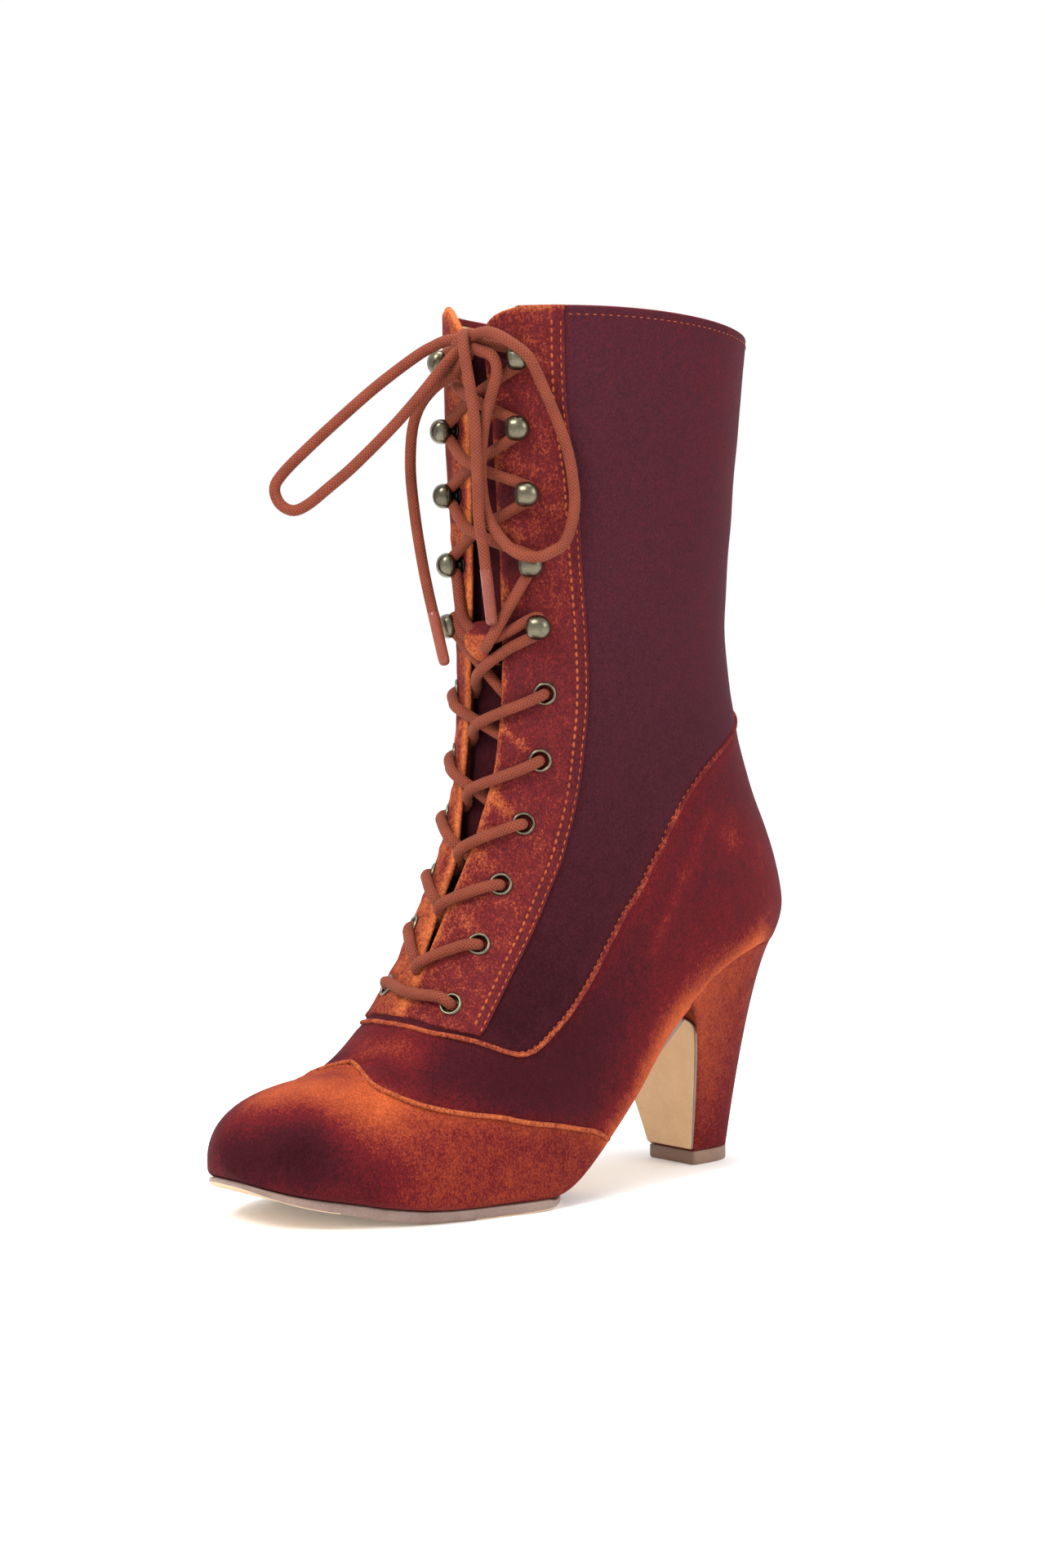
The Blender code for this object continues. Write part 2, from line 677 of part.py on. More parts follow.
def make_upper(velvet):
    around = np.array([upper_columns(station) for station in STATIONS])
    stations = np.array(STATIONS)[:, None]
    columns = around.shape[1]
    centre = columns // 2

    def keep(row, column):
        in_slit = STATIONS[row] >= SLIT_STATION and column in (centre - 1, centre)
        is_open = OPEN_UNDERNEATH[0] <= STATIONS[row] < OPEN_UNDERNEATH[1]
        return not in_slit and not (is_open and column in (0, columns - 1))

    return wall("upper", skin(stations, around), skin(stations, around, -WALL), velvet,
                closed=True, tip=True, keep=keep)


def make_facing(velvet):
    # A U round the throat: its lower edge follows the quarter seam, just above the piping
    seam = smooth_curve(QUARTER_SEAM, SEAM_SAMPLES)
    rows, around = [], []
    for station in stations_between(SLIT_STATION, COLLAR):
        inner, outer = (facing_columns(station, side) for side in (-1, 1))
        around.append(np.concatenate((inner[::-1], [slit_middle(station)], outer)))
        rows.append(np.full(len(around[-1]), station))
    lower = np.interp(np.abs(around[0]), seam[:, 1], seam[:, 0]) + FACING_ABOVE_SEAM
    rows = np.array([lower, (lower + rows[0]) / 2] + rows)
    around = np.array([around[0], around[0]] + around)
    centre = FACING_COLUMNS

    def keep(row, column):
        return row < 2 or column not in (centre - 1, centre)

    lift = np.where(rows < SLIT_STATION, FACING_GAP, GAP)
    outer, inner = skin(rows, around, lift + FACING_THICKNESS), skin(rows, around, lift)
    return wall("facing", outer, inner, velvet, keep=keep)


def even_route(seam, count):
    # Stations and shares spread evenly along a seam as it lies on the upper
    fine = smooth_curve(seam, SEAM_SAMPLES)
    steps = np.linalg.norm(np.diff(skin(fine[:, 0], fine[:, 1]), axis=0), axis=1)
    length = np.concatenate(([0.0], np.cumsum(steps)))
    at = np.linspace(0.0, length[-1], count)
    return np.stack([np.interp(at, length, fine[:, axis]) for axis in range(2)], axis=-1)


def make_piping(name, seam, count, closed, cord):
    # A covered cord along a seam, from the front line down one side, and the same on the other side
    half = even_route(seam, count)
    other = half[-2 if closed else -1:0:-1] * (1.0, -1.0)
    route = np.concatenate((other, half))
    centre = np.array([facet_point(station, around) for station, around in route])
    normal = skin_normal(route[:, 0], route[:, 1])
    if closed:
        tangent = np.roll(centre, -1, axis=0) - np.roll(centre, 1, axis=0)
    else:
        tangent = np.gradient(centre, axis=0)
    tangent /= np.linalg.norm(tangent, axis=1, keepdims=True)
    across = np.cross(normal, tangent)
    rings = []
    for width, height in PIPING_PROFILE:
        lift = PIPING_GAP + height * PIPING_HEIGHT
        rings.append(centre + across * (width * PIPING_WIDTH) + normal * lift)
    points = np.stack(rings, axis=1)
    sides = len(PIPING_PROFILE)
    rows = len(route)
    faces = grid_faces(rows + 1 if closed else rows, sides, closed=True)
    if closed:
        faces = [tuple(i % (rows * sides) for i in face) for face in faces]
    else:
        faces.append(tuple(range(sides)))
        faces.append(tuple(range((rows - 1) * sides, rows * sides)))
    return solid(name, points, faces, cord)


# Sole, heel and insole


def underside(station, tuck=0.0):
    # Shares of the way around under the foot, from the outer feather line across to the inner one
    half = {}
    for side in (1, -1):
        edge = feather(station, side)
        half[side] = (edge + (1 - edge) * tuck, turned_edge(station, side))
    return np.array((*half[1], 1.0, -half[-1][1], -half[-1][0]))


def make_outsole(leather):
    upper_side, lower_side = [], []
    for station in stations_between(STATIONS[1], SOLE_END_STATION):
        around = underside(station, np.interp(station, EDGE_STATIONS, (0.0, WAIST_TUCK)))
        top = skin(station, around, GAP)
        outward = skin_normal(station, around[[0, -1]]) * (1.0, 1.0, 0.0)
        outward /= np.linalg.norm(outward, axis=1, keepdims=True)
        overhang = np.interp(station, EDGE_STATIONS, (FOREFOOT_OVERHANG, WAIST_OVERHANG))
        edge = top[[0, -1]] + outward * overhang
        top = np.concatenate((edge[:1], top, edge[1:]))
        if station == STATIONS[1]:
            top[:, 1] = TOE_TIP_Y - overhang
        low = top.copy()
        if station <= SOLE_FLAT_END:
            low[:, 2] = column_of(SOLE_BOTTOM, station, "height")
        else:
            down = skin_normal(station, 1.0)
            middle = top[len(top) // 2]
            thickness = np.interp(
                station, (SOLE_FLAT_END, SOLE_END_STATION), (WAIST_THICKNESS, SOLE_END_THICKNESS))
            low = top + down * (thickness + (middle - top).dot(down))[:, None]
        upper_side.append(top)
        lower_side.append(low)
    return wall("outsole", np.array(upper_side), np.array(lower_side), leather)


def heel_seat():
    stations = stations_between(BREAST_STATION, HEEL_END_STATION)
    return np.array([skin(station, underside(station), GAP) for station in stations])


def heel_outline(rows, columns):
    # Grid places round the edge of the seat, and the place on the top piece that each comes down to
    order = [(0, c) for c in range(columns)]
    order += [(r, columns - 1) for r in range(1, rows)]
    order += [(rows - 1, c) for c in range(columns - 2, -1, -1)]
    order += [(r, 0) for r in range(rows - 2, 0, -1)]
    foot = []
    for row, column in order:
        side = 1 - 2 * column / (columns - 1)
        turn = (row + (1 - abs(side) if row == rows - 1 else 0)) / rows * math.pi / 2
        width = math.cos(turn) ** (2 / TOP_PIECE_ROUND) if row else abs(side)
        depth = math.sin(turn) ** (2 / TOP_PIECE_ROUND)
        foot.append((
            math.copysign(TOP_PIECE_HALF_WIDTH * width, side),
            TOP_PIECE_FRONT_Y + (TOP_PIECE_BACK_Y - TOP_PIECE_FRONT_Y) * depth,
            TOP_PIECE_HEIGHT + GAP))
    return order, np.array(foot)


def heel_level(top, foot, level):
    drawn_in = level ** HEEL_FLARE
    share = np.array((drawn_in, drawn_in, level))
    return top * (1 - share) + foot * share


def make_heel(velvet):
    seat = heel_seat()
    rows, columns = seat.shape[:2]
    order, foot = heel_outline(rows, columns)
    ring = [row * columns + column for row, column in order]
    top = seat.reshape(-1, 3)[ring]
    points = [seat.reshape(-1, 3)]
    faces = grid_faces(rows, columns)
    for level in HEEL_LEVELS:
        start = sum(len(block) for block in points)
        points.append(heel_level(top, foot, level))
        below = list(range(start, start + len(ring)))
        for k, n in zip(range(len(ring)), [*range(1, len(ring)), 0]):
            faces.append((ring[k], ring[n], below[n], below[k]))
        ring = below
    faces.append(tuple(ring))
    return solid("heel", np.concatenate(points), faces, velvet)


def make_top_piece(rubber):
    foot = heel_outline(*heel_seat().shape[:2])[1]
    upper_ring = foot - (0.0, 0.0, GAP)
    lower_ring = upper_ring * (1.0, 1.0, 0.0)
    count = len(foot)
    faces = [(k, (k + 1) % count, count + (k + 1) % count, count + k) for k in range(count)]
    faces += [tuple(range(count)), tuple(range(count, 2 * count))]
    return solid("heel_top_piece", np.concatenate((upper_ring, lower_ring)), faces, rubber)


def make_heel_breast(leather):
    # A leather flap down the front of the heel, with rounded upper corners
    seat = heel_seat()
    columns = seat.shape[1]
    top, bottom = seat[0], heel_outline(*seat.shape[:2])[1][:columns]
    shares = np.linspace(-1.0, 1.0, columns)
    fine = np.linspace(-1.0, 1.0, 2 * columns - 1)
    inner, outer = [], []
    for level in BREAST_ROWS:
        row = heel_level(top, bottom, level)
        corner = min((level - BREAST_ROWS[0]) / (BREAST_ROUND_END - BREAST_ROWS[0]), 1.0)
        narrow = BREAST_TOP_SHARE + (BREAST_SHARE - BREAST_TOP_SHARE) * math.sqrt(1 - (1 - corner) ** 2)
        row = np.stack([np.interp(fine * narrow, shares, row[:, axis]) for axis in range(3)], axis=-1)
        down = heel_level(top, bottom, level + 0.01) - heel_level(top, bottom, level - 0.01)
        forward = np.array((0.0, down[columns // 2][2], -down[columns // 2][1]))
        forward /= np.linalg.norm(forward)
        inner.append(row + forward * BREAST_GAP)
        outer.append(row + forward * (BREAST_GAP + BREAST_THICKNESS))
    return wall("heel_breast", np.array(outer), np.array(inner), leather)


def make_insole(lining):
    stations = stations_between(*INSOLE_RANGE)
    around = np.array([underside(station) for station in stations])
    rows = np.array(stations)[:, None]
    low = skin(rows, around, -INSOLE_CLEARANCE)
    high = skin(rows, around, -INSOLE_CLEARANCE - INSOLE_THICKNESS)
    return wall("insole", low, high, lining)


def make_tongue(velvet):
    stations = stations_between(*TONGUE_RANGE)[1::2]
    half_widths = (TONGUE_FOOT_HALF_WIDTH, TONGUE_HALF_WIDTH)
    widths = np.interp(stations, (TONGUE_RANGE[0], SHAFT_STATION), half_widths)
    shares = np.linspace(-1.0, 1.0, TONGUE_COLUMNS)
    around = np.array([[around_at(s, w * x) for x in shares] for s, w in zip(stations, widths)])
    rows = np.array(stations)[:, None]
    front = skin(rows, around, -TONGUE_CLEARANCE)
    back = skin(rows, around, -TONGUE_CLEARANCE - TONGUE_THICKNESS)
    return wall("tongue", front, back, velvet)


def make_tongue_loop(velvet):
    rows = np.array(LOOP_STATIONS)[:, None]
    around = np.array([[around_at(station, side) for side in LOOP_SIDES] for station in LOOP_STATIONS])
    return wall("tongue_loop", skin(rows, around, LOOP_LIFT[1]), skin(rows, around, LOOP_LIFT[0]), velvet)


# Eyelets and hooks


def make_fittings(brass):
    for kind, rows, profile in (("eyelet", EYELETS, EYELET_PROFILE), ("hook", HOOKS, HOOK_PROFILE)):
        for number, row in enumerate(rows, 1):
            for label, distance in (("lateral", row.outer), ("medial", -row.inner)):
                around = around_at(row.station, distance)
                centre = skin(row.station, around, FITTING_LIFT)
                turned(f"{kind}_{label}_{number}", profile, centre, skin_normal(row.station, around), brass)


# Lace, knot and bow


def on_skin(route):
    # Points of a route given as station, distance from the front line and lift
    return np.array([skin(s, around_at(s, distance), lift) for s, distance, lift in route])


def lace_stretch(start, end, clearance, count, lift):
    # A straight stretch between two places on the upper that stays clear of what stands at its ends
    start, end = np.array((*start, lift)), np.array((*end, lift))
    length = np.linalg.norm(np.diff(on_skin((start, end)), axis=0))
    shares = np.linspace(clearance[0] / length, 1 - clearance[1] / length, count)[:, None]
    return start + (end - start) * shares


def make_lace_bar(cord):
    eyelet = EYELETS[0]
    outer, inner = (eyelet.station, eyelet.outer), (eyelet.station, -eyelet.inner)
    route = lace_stretch(outer, inner, (EYELET_CLEARANCE, EYELET_CLEARANCE), CROSS_POINTS, LACE_BAR_LIFT)
    solid("lace_bar_1", *tube_mesh(on_skin(route), LACE_RADIUS, LACE_SIDES), cord)


def make_lace_rows(cord):
    fittings = EYELETS[1:] + HOOKS[:1]
    for number, (fitting, meeting) in enumerate(zip(fittings, MEETINGS), 2):
        clearance = HOOK_CLEARANCE if fitting in HOOKS else EYELET_CLEARANCE
        arms = []
        for distance in (fitting.outer, -fitting.inner):
            start = (fitting.station, distance)
            arms.append(lace_stretch(start, meeting, (clearance, 0.0), ARM_POINTS, LACE_LIFT))
        route = np.concatenate((arms[0], arms[1][-2::-1]))
        solid(f"lace_row_{number}", *tube_mesh(on_skin(route), LACE_RADIUS, LACE_SIDES), cord)


def make_lace_crosses(cord):
    clearance = (HOOK_CLEARANCE, HOOK_CLEARANCE)
    for number, (low, high) in enumerate(zip(HOOKS, HOOKS[1:]), len(EYELETS) + 1):
        arms = []
        for name, start, end, lift in (
                ("lace_cross", low.outer, -high.inner, LACE_LIFT + CROSSING_LIFT),
                ("cross_arm", -low.inner, high.outer, LACE_LIFT)):
            route = lace_stretch((low.station, start), (high.station, end), clearance, CROSS_POINTS, lift)
            mesh = tube_mesh(on_skin(route), LACE_RADIUS, LACE_SIDES)
            arms.append(solid(f"{name}_{number}", *mesh, cord))
        joined, arm = arms
        arm.hide_render = True
        arm.display_type = "WIRE"
        union = joined.modifiers.new("join the crossing arm", "BOOLEAN")
        union.operation = "UNION"
        union.object = arm


def make_lace_tops(cord):
    for side, label, distance in ((1, "lateral", HOOKS[-1].outer), (-1, "medial", -HOOKS[-1].inner)):
        hook = (HOOKS[-1].station, distance)
        knot = (KNOT.station, KNOT.distance + side * KNOT_SIDE)
        route = lace_stretch(hook, knot, (HOOK_CLEARANCE, 0.0), ARM_POINTS, KNOT_SIDE_LIFT)
        solid(f"lace_top_{label}", *tube_mesh(on_skin(route), LACE_RADIUS, LACE_SIDES), cord)


def make_knot(cord):
    out = skin_normal(KNOT.station, around_at(KNOT.station, KNOT.distance))
    across = np.cross((0.0, 0.0, 1.0), out)
    across /= np.linalg.norm(across)
    frame = np.stack((across, out, np.cross(out, across)))
    work = bmesh.new()
    bmesh.ops.create_icosphere(work, subdivisions=2, radius=1.0)
    points = np.array([vertex.co for vertex in work.verts]) * KNOT_HALF_SIZE
    faces = [tuple(vertex.index for vertex in face.verts) for face in work.faces]
    work.free()
    solid("knot", on_skin([KNOT]) + points @ frame, faces, cord)


def make_cord(name, points, cord):
    length = np.linalg.norm(np.diff(points, axis=0), axis=1).sum()
    path = smooth_curve(points, round(length / CORD_SPACING) + 1)
    curve = bpy.data.curves.new(name, "CURVE")
    curve.dimensions = "3D"
    curve.bevel_depth = LACE_RADIUS * MM
    curve.bevel_resolution = CORD_BEVEL_STEPS
    curve.use_fill_caps = True
    spline = curve.splines.new("POLY")
    spline.points.add(len(path) - 1)
    for point, place in zip(spline.points, (path - ORIGIN) * MM):
        point.co = (*place, 1.0)
    curve.materials.append(cord)
    bpy.context.scene.collection.objects.link(bpy.data.objects.new(name, curve))


def make_bow(cord, clear):
    outward, up, forward = np.array(INNER_LOOP).T[:, :, None]
    inner = on_skin([KNOT]) + outward * INNER_LOOP_OUTWARD + forward * INNER_LOOP_FORWARD + up * (0.0, 0.0, 1.0)
    make_cord("lace_loop_inner", inner, cord)
    make_cord("lace_loop_outer", on_skin(OUTER_LOOP), cord)
    for label, route in (("front", FRONT_END), ("inner", INNER_END)):
        points = on_skin(route)
        make_cord(f"lace_end_{label}", points, cord)
        ahead = points[-1] - points[-2]
        ahead /= np.linalg.norm(ahead)
        turned(f"aglet_{label}", AGLET_PROFILE, points[-1] + ahead * GAP, ahead, clear)


def main():
    wine = material("wine_velvet", (0.085, 0.018, 0.018), 0.85)
    rust = material("rust_velvet", (0.30, 0.06, 0.018), 0.8)
    cord = material("piping_velvet", (0.36, 0.075, 0.02), 0.75)
    tan = material("tan_leather", (0.55, 0.40, 0.26), 0.5)
    taupe = material("top_piece_rubber", (0.22, 0.15, 0.11), 0.45)
    brass = material("antique_brass", (0.32, 0.26, 0.16), 0.35, 1.0)
    lining = material("insole_lining", (0.62, 0.50, 0.33), 0.7)
    lace = material("rust_lace", (0.22, 0.07, 0.035), 0.7)
    clear = material("aglet_plastic", (0.55, 0.42, 0.34), 0.2)
    make_upper(wine)
    make_facing(rust)
    make_piping("quarter_piping", QUARTER_SEAM, QUARTER_PIPING_POINTS, True, cord)
    make_piping("toe_piping", TOE_SEAM, TOE_PIPING_POINTS, False, cord)
    make_outsole(tan)
    make_heel(wine)
    make_top_piece(taupe)
    make_heel_breast(tan)
    make_insole(lining)
    make_tongue(wine)
    make_tongue_loop(rust)
    make_fittings(brass)
    make_lace_bar(lace)
    make_lace_rows(lace)
    make_lace_crosses(lace)
    make_lace_tops(lace)
    make_knot(lace)
    make_bow(lace, clear)


main()
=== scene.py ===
import math

import bmesh
import bpy
import numpy as np
from mathutils import Matrix, Vector, noise


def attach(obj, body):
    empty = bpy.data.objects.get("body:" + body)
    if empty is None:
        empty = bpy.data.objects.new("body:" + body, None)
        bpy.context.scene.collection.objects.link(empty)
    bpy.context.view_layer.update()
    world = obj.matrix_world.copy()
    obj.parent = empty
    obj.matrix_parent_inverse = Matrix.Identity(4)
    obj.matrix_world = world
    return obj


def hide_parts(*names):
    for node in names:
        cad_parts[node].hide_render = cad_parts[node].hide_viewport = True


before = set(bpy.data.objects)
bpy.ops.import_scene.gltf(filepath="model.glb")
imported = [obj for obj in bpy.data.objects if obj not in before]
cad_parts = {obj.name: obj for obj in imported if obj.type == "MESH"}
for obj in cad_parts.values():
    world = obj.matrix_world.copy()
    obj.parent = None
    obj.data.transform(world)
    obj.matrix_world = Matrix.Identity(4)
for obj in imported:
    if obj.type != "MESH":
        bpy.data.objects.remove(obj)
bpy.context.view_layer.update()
scene = bpy.context.scene
millimetre = 0.001
print("frame loaded")


# Camera, light and floor

stageSettings = {
    "cameraPlace": (0.8659, -0.72279, 0.20587),
    "cameraAim": (-0.00133, 0.0049, 0.140),
    "lens": 75.0,
    "sensorWidth": 36.0,
    "floorSize": 30.0,
    "floorCells": 8,
    "floorRoughness": 0.7,
    "floorColour": (0.93, 0.93, 0.925, 1.0),
    "floorGlow": 0.12,
    "worldColour": (1.0, 1.0, 1.0, 1.0),
    "worldStrength": 1.0,
    "lights": (
        # name, place, aim, size, watts, colour
        ("keyLight", (0.15, -1.15, 1.25), (0.0, -0.02, 0.12), 0.7, 21.0, (1.0, 0.96, 0.90)),
        ("topLight", (0.0, 0.1, 1.5), (0.0, 0.0, 0.1), 0.9, 14.0, (1.0, 0.98, 0.95)),
        ("sideLight", (1.3, 0.35, 0.7), (0.0, 0.03, 0.15), 0.8, 7.0, (1.0, 0.97, 0.93)),
    ),
}


def lookAt(item, place, aim):
    item.location = place
    item.rotation_mode = "QUATERNION"
    item.rotation_quaternion = (Vector(aim) - Vector(place)).to_track_quat("-Z", "Y")


def makeStage(settings):
    camera = bpy.data.objects.new("camera", bpy.data.cameras.new("camera"))
    camera.data.lens = settings["lens"]
    camera.data.sensor_width = settings["sensorWidth"]
    lookAt(camera, settings["cameraPlace"], settings["cameraAim"])
    scene.collection.objects.link(camera)
    scene.camera = camera
    for name, place, aim, size, watts, colour in settings["lights"]:
        light = bpy.data.lights.new(name, "AREA")
        light.shape = "DISK"
        light.size = size
        light.energy = watts
        light.color = colour
        lamp = bpy.data.objects.new(name, light)
        lookAt(lamp, place, aim)
        scene.collection.objects.link(lamp)
    world = bpy.data.worlds.new("studio")
    world.use_nodes = True
    background = world.node_tree.nodes["Background"]
    background.inputs["Color"].default_value = settings["worldColour"]
    background.inputs["Strength"].default_value = settings["worldStrength"]
    scene.world = world
    scene.view_settings.view_transform = "Standard"
    work = bmesh.new()
    cells = settings["floorCells"]
    bmesh.ops.create_grid(work, x_segments=cells, y_segments=cells, size=settings["floorSize"] / 2)
    mesh = bpy.data.meshes.new("floor")
    work.to_mesh(mesh)
    work.free()
    floor = bpy.data.objects.new("floor", mesh)
    scene.collection.objects.link(floor)
    paint = bpy.data.materials.new("floorPaint")
    paint.use_nodes = True
    shader = paint.node_tree.nodes["Principled BSDF"]
    shader.inputs["Base Color"].default_value = settings["floorColour"]
    shader.inputs["Roughness"].default_value = settings["floorRoughness"]
    shader.inputs["Emission Color"].default_value = settings["floorColour"]
    shader.inputs["Emission Strength"].default_value = settings["floorGlow"]
    mesh.materials.append(paint)


makeStage(stageSettings)
print("stage made")


# The last: the same sections as the CAD, as a table of points, normals and lengths

lastSettings = {
    "origin": (1.33, 2.4, 0.0),
    "stepsPerSection": 24,
    "stepsHalfway": 90,
    "tinyStep": 1e-9,
    # front y, front z, back y, back z, outer and inner half width, centre, widest share, roundness of the
    # front and the back, bow
    "sections": (
        (-90.0, 44.0, -90.0, 8.2, 36.0, 32.5, -1.5, 0.72, 2.0, 6.0, 0.0),
        (-68.0, 48.8, -66.0, 4.2, 42.5, 38.5, -0.5, 0.76, 2.0, 8.0, 0.0),
        (-48.0, 65.5, -38.0, 3.0, 45.0, 41.0, 0.0, 0.78, 2.0, 9.0, 0.0),
        (-39.3, 81.0, -8.0, 3.2, 45.0, 38.5, 0.0, 0.76, 2.0, 9.0, 0.0),
        (-33.2, 93.3, 22.0, 21.5, 39.0, 35.0, 0.0, 0.68, 2.1, 8.0, 0.0),
        (-27.8, 104.0, 52.0, 49.5, 35.0, 33.5, 0.0, 0.62, 2.2, 6.0, 0.0),
        (-23.0, 113.0, 78.0, 69.0, 34.0, 33.0, 0.0, 0.59, 2.3, 5.0, 0.0),
        (-20.0, 121.0, 102.0, 77.0, 33.5, 33.0, 0.0, 0.57, 2.4, 3.8, 0.0),
        (-18.0, 129.0, 116.0, 80.5, 33.5, 33.0, 0.0, 0.55, 2.4, 2.7, 0.0),
        (-16.0, 136.0, 124.5, 93.0, 34.0, 33.5, 0.0, 0.54, 2.4, 2.1, 0.0),
        (-14.0, 145.0, 118.0, 113.0, 34.5, 34.0, 0.0, 0.53, 2.4, 2.1, 0.0),
        (-12.0, 157.0, 105.5, 138.0, 35.5, 35.0, 0.0, 0.52, 2.4, 2.1, 0.0),
        (-10.5, 172.0, 96.0, 163.0, 37.0, 36.5, 0.0, 0.52, 2.3, 2.1, 0.0),
        (-11.0, 195.0, 91.0, 192.0, 39.0, 38.5, 0.0, 0.52, 2.2, 2.1, 0.0),
        (-13.0, 225.0, 91.0, 224.0, 41.0, 40.5, 0.0, 0.52, 2.1, 2.1, 0.0),
        (-15.0, 260.0, 94.0, 257.0, 43.0, 42.5, 0.0, 0.52, 2.1, 2.1, 1.0),
        (-16.0, 302.0, 98.0, 293.0, 44.5, 44.0, 0.0, 0.52, 2.1, 2.1, 3.0),
    ),
    "toeTip": (-118.5, 24.0),
    "toeFullness": 0.3,
    "toeTopFullness": 0.55,
    "toeUnder": 4.0,
    "toeSpring": 5.5,
    "toeInward": 1.5,
    # station and share of the half width where the upper turns under
    "feather": ((4.0, 0.955), (5.0, 0.95), (6.0, 0.91), (7.0, 0.82), (8.0, 0.56), (8.4, 0.36)),
    # how far behind the middle the leg stands
    "legBack": 40.0,
}
sections = np.array(lastSettings["sections"])
collar = len(sections) - 1


def runLength(points):
    # Length along a line of points, at each of them
    return np.concatenate(([0.0], np.cumsum(np.linalg.norm(np.diff(points, axis=0), axis=1))))


def pickAlong(points, places, at):
    # Points of a line at other places along it
    return np.stack([np.interp(at, places, points[:, axis]) for axis in range(points.shape[1])], axis=-1)


def sectionAt(station):
    low = int(min(max(math.floor(station), 0), collar - 1))
    share = station - low
    start, end = sections[low], sections[low + 1]
    before = sections[low - 1] if low > 0 else 2 * start - end
    after = sections[low + 2] if low + 2 <= collar else 2 * end - start
    square, cube = share ** 2, share ** 3
    value = (2 * cube - 3 * square + 1) * start + (3 * square - 2 * cube) * end
    return value + (cube - 2 * square + share) * (end - before) / 2 + (cube - square) * (after - start) / 2


def toeSection(reach):
    section = sections[0].copy()
    tipY, tipZ = lastSettings["toeTip"]
    forward = math.sin(reach * math.pi / 2)
    close = math.sqrt((1 - forward) * (1 + lastSettings["toeFullness"] * forward))
    closeTop = math.sqrt((1 - forward) * (1 + lastSettings["toeTopFullness"] * forward))
    closeUnder = (1 - forward ** lastSettings["toeUnder"]) ** (1 / lastSettings["toeUnder"])
    under = section[3] + lastSettings["toeSpring"] * forward
    section[0] = section[2] = section[0] + (tipY - section[0]) * forward
    section[1] = tipZ + (section[1] - tipZ) * closeTop
    section[3] = tipZ + (under - tipZ) * closeUnder
    section[4:6] *= close
    section[6] -= lastSettings["toeInward"] * forward
    return section


def halfSection(section, side):
    frontY, frontZ, backY, backZ, lateral, medial, centre, widest, frontPower, backPower, bow = section
    angle = np.linspace(0.0, math.pi / 2, lastSettings["stepsHalfway"])
    sine, cosine = np.sin(angle), np.cos(angle).clip(0.0)
    front, back = 2 / frontPower, 2 / backPower
    along = np.concatenate((widest * (1 - cosine ** front), widest + (1 - widest) * sine[1:] ** back))
    out = (lateral if side > 0 else medial) * np.concatenate((sine ** front, cosine[1:] ** back))
    points = np.stack((
        centre + side * out,
        frontY + (backY - frontY) * along,
        frontZ + (backZ - frontZ) * along + 4 * bow * along * (1 - along)), axis=-1)
    length = runLength(points)
    return points, np.maximum(length, np.arange(len(length)) * lastSettings["tinyStep"])


def shareAtWidth(section, length, widthShare):
    steps = lastSettings["stepsHalfway"]
    angle = math.acos(widthShare ** (section[9] / 2))
    index = (steps - 1) * (1 + angle / (math.pi / 2))
    return np.interp(index, np.arange(len(length)), length) / length[-1]


def buildLast():
    stations = np.linspace(-1.0, collar, (collar + 1) * lastSettings["stepsPerSection"] + 1)
    shares = np.linspace(0.0, 1.0, lastSettings["stepsHalfway"] + 1)
    featherStations, featherWidths = zip(*lastSettings["feather"])
    points, lengths, feathers = [], [], []
    for station in stations:
        section = sectionAt(station) if station >= 0 else toeSection(-station)
        halves, rowLengths, rowFeathers = [], [], []
        for side in (-1, 1):
            half, length = halfSection(section, side)
            halves.append(pickAlong(half, length, shares * length[-1]))
            rowLengths.append(length[-1])
            width = np.interp(station, featherStations, featherWidths)
            rowFeathers.append(shareAtWidth(section, length, width))
        points.append(np.concatenate((halves[0][::-1], halves[1][1:])))
        lengths.append(rowLengths)
        feathers.append(rowFeathers)
    points = np.array(points) - lastSettings["origin"]
    ring = np.concatenate((points[:, -2:-1], points, points[:, 1:2]), axis=1)
    normals = np.cross(ring[:, 2:] - ring[:, :-2], np.gradient(points, axis=0))
    normals[0] = (0.0, -1.0, 0.0)
    normals /= np.linalg.norm(normals, axis=-1, keepdims=True)
    return {"stations": stations, "points": points, "normals": normals,
            "length": np.array(lengths), "feather": np.array(feathers)}


last = buildLast()


def skin(station, around, lift=0.0):
    # Points over the outer face. Around runs from -1 at the back, by the inner side, to 1 by the outer.
    station, around, lift = np.broadcast_arrays(
        np.asarray(station, float), np.asarray(around, float), np.asarray(lift, float))
    halfway = lastSettings["stepsHalfway"]
    row = np.interp(station, last["stations"], np.arange(len(last["stations"])))
    column = (np.clip(around, -1.0, 1.0) + 1) * halfway
    r = np.minimum(row.astype(int), len(last["stations"]) - 2)
    c = np.minimum(column.astype(int), 2 * halfway - 1)
    u, v = (row - r)[..., None], (column - c)[..., None]

    def sample(table):
        near = table[r, c] * (1 - v) + table[r, c + 1] * v
        far = table[r + 1, c] * (1 - v) + table[r + 1, c + 1] * v
        return near * (1 - u) + far * u

    normal = sample(last["normals"])
    normal = normal / np.linalg.norm(normal, axis=-1, keepdims=True)
    return sample(last["points"]) + normal * lift[..., None]


def skinNormal(station, around):
    return skin(station, around, 1.0) - skin(station, around)


def bySide(key, station, side):
    inner = np.interp(station, last["stations"], last[key][:, 0])
    outer = np.interp(station, last["stations"], last[key][:, 1])
    return np.where(np.asarray(side) >= 0, outer, inner)


def featherAt(station, side):
    return bySide("feather", np.minimum(station, lastSettings["feather"][-1][0]), side)


def awayFromLeg(centre):
    return Vector((centre.x, centre.y - lastSettings["legBack"], 0.0))


def aroundAt(station, distance):
    # Share of the way around for a distance measured along the section from the front line
    return np.asarray(distance) / bySide("length", station, distance)


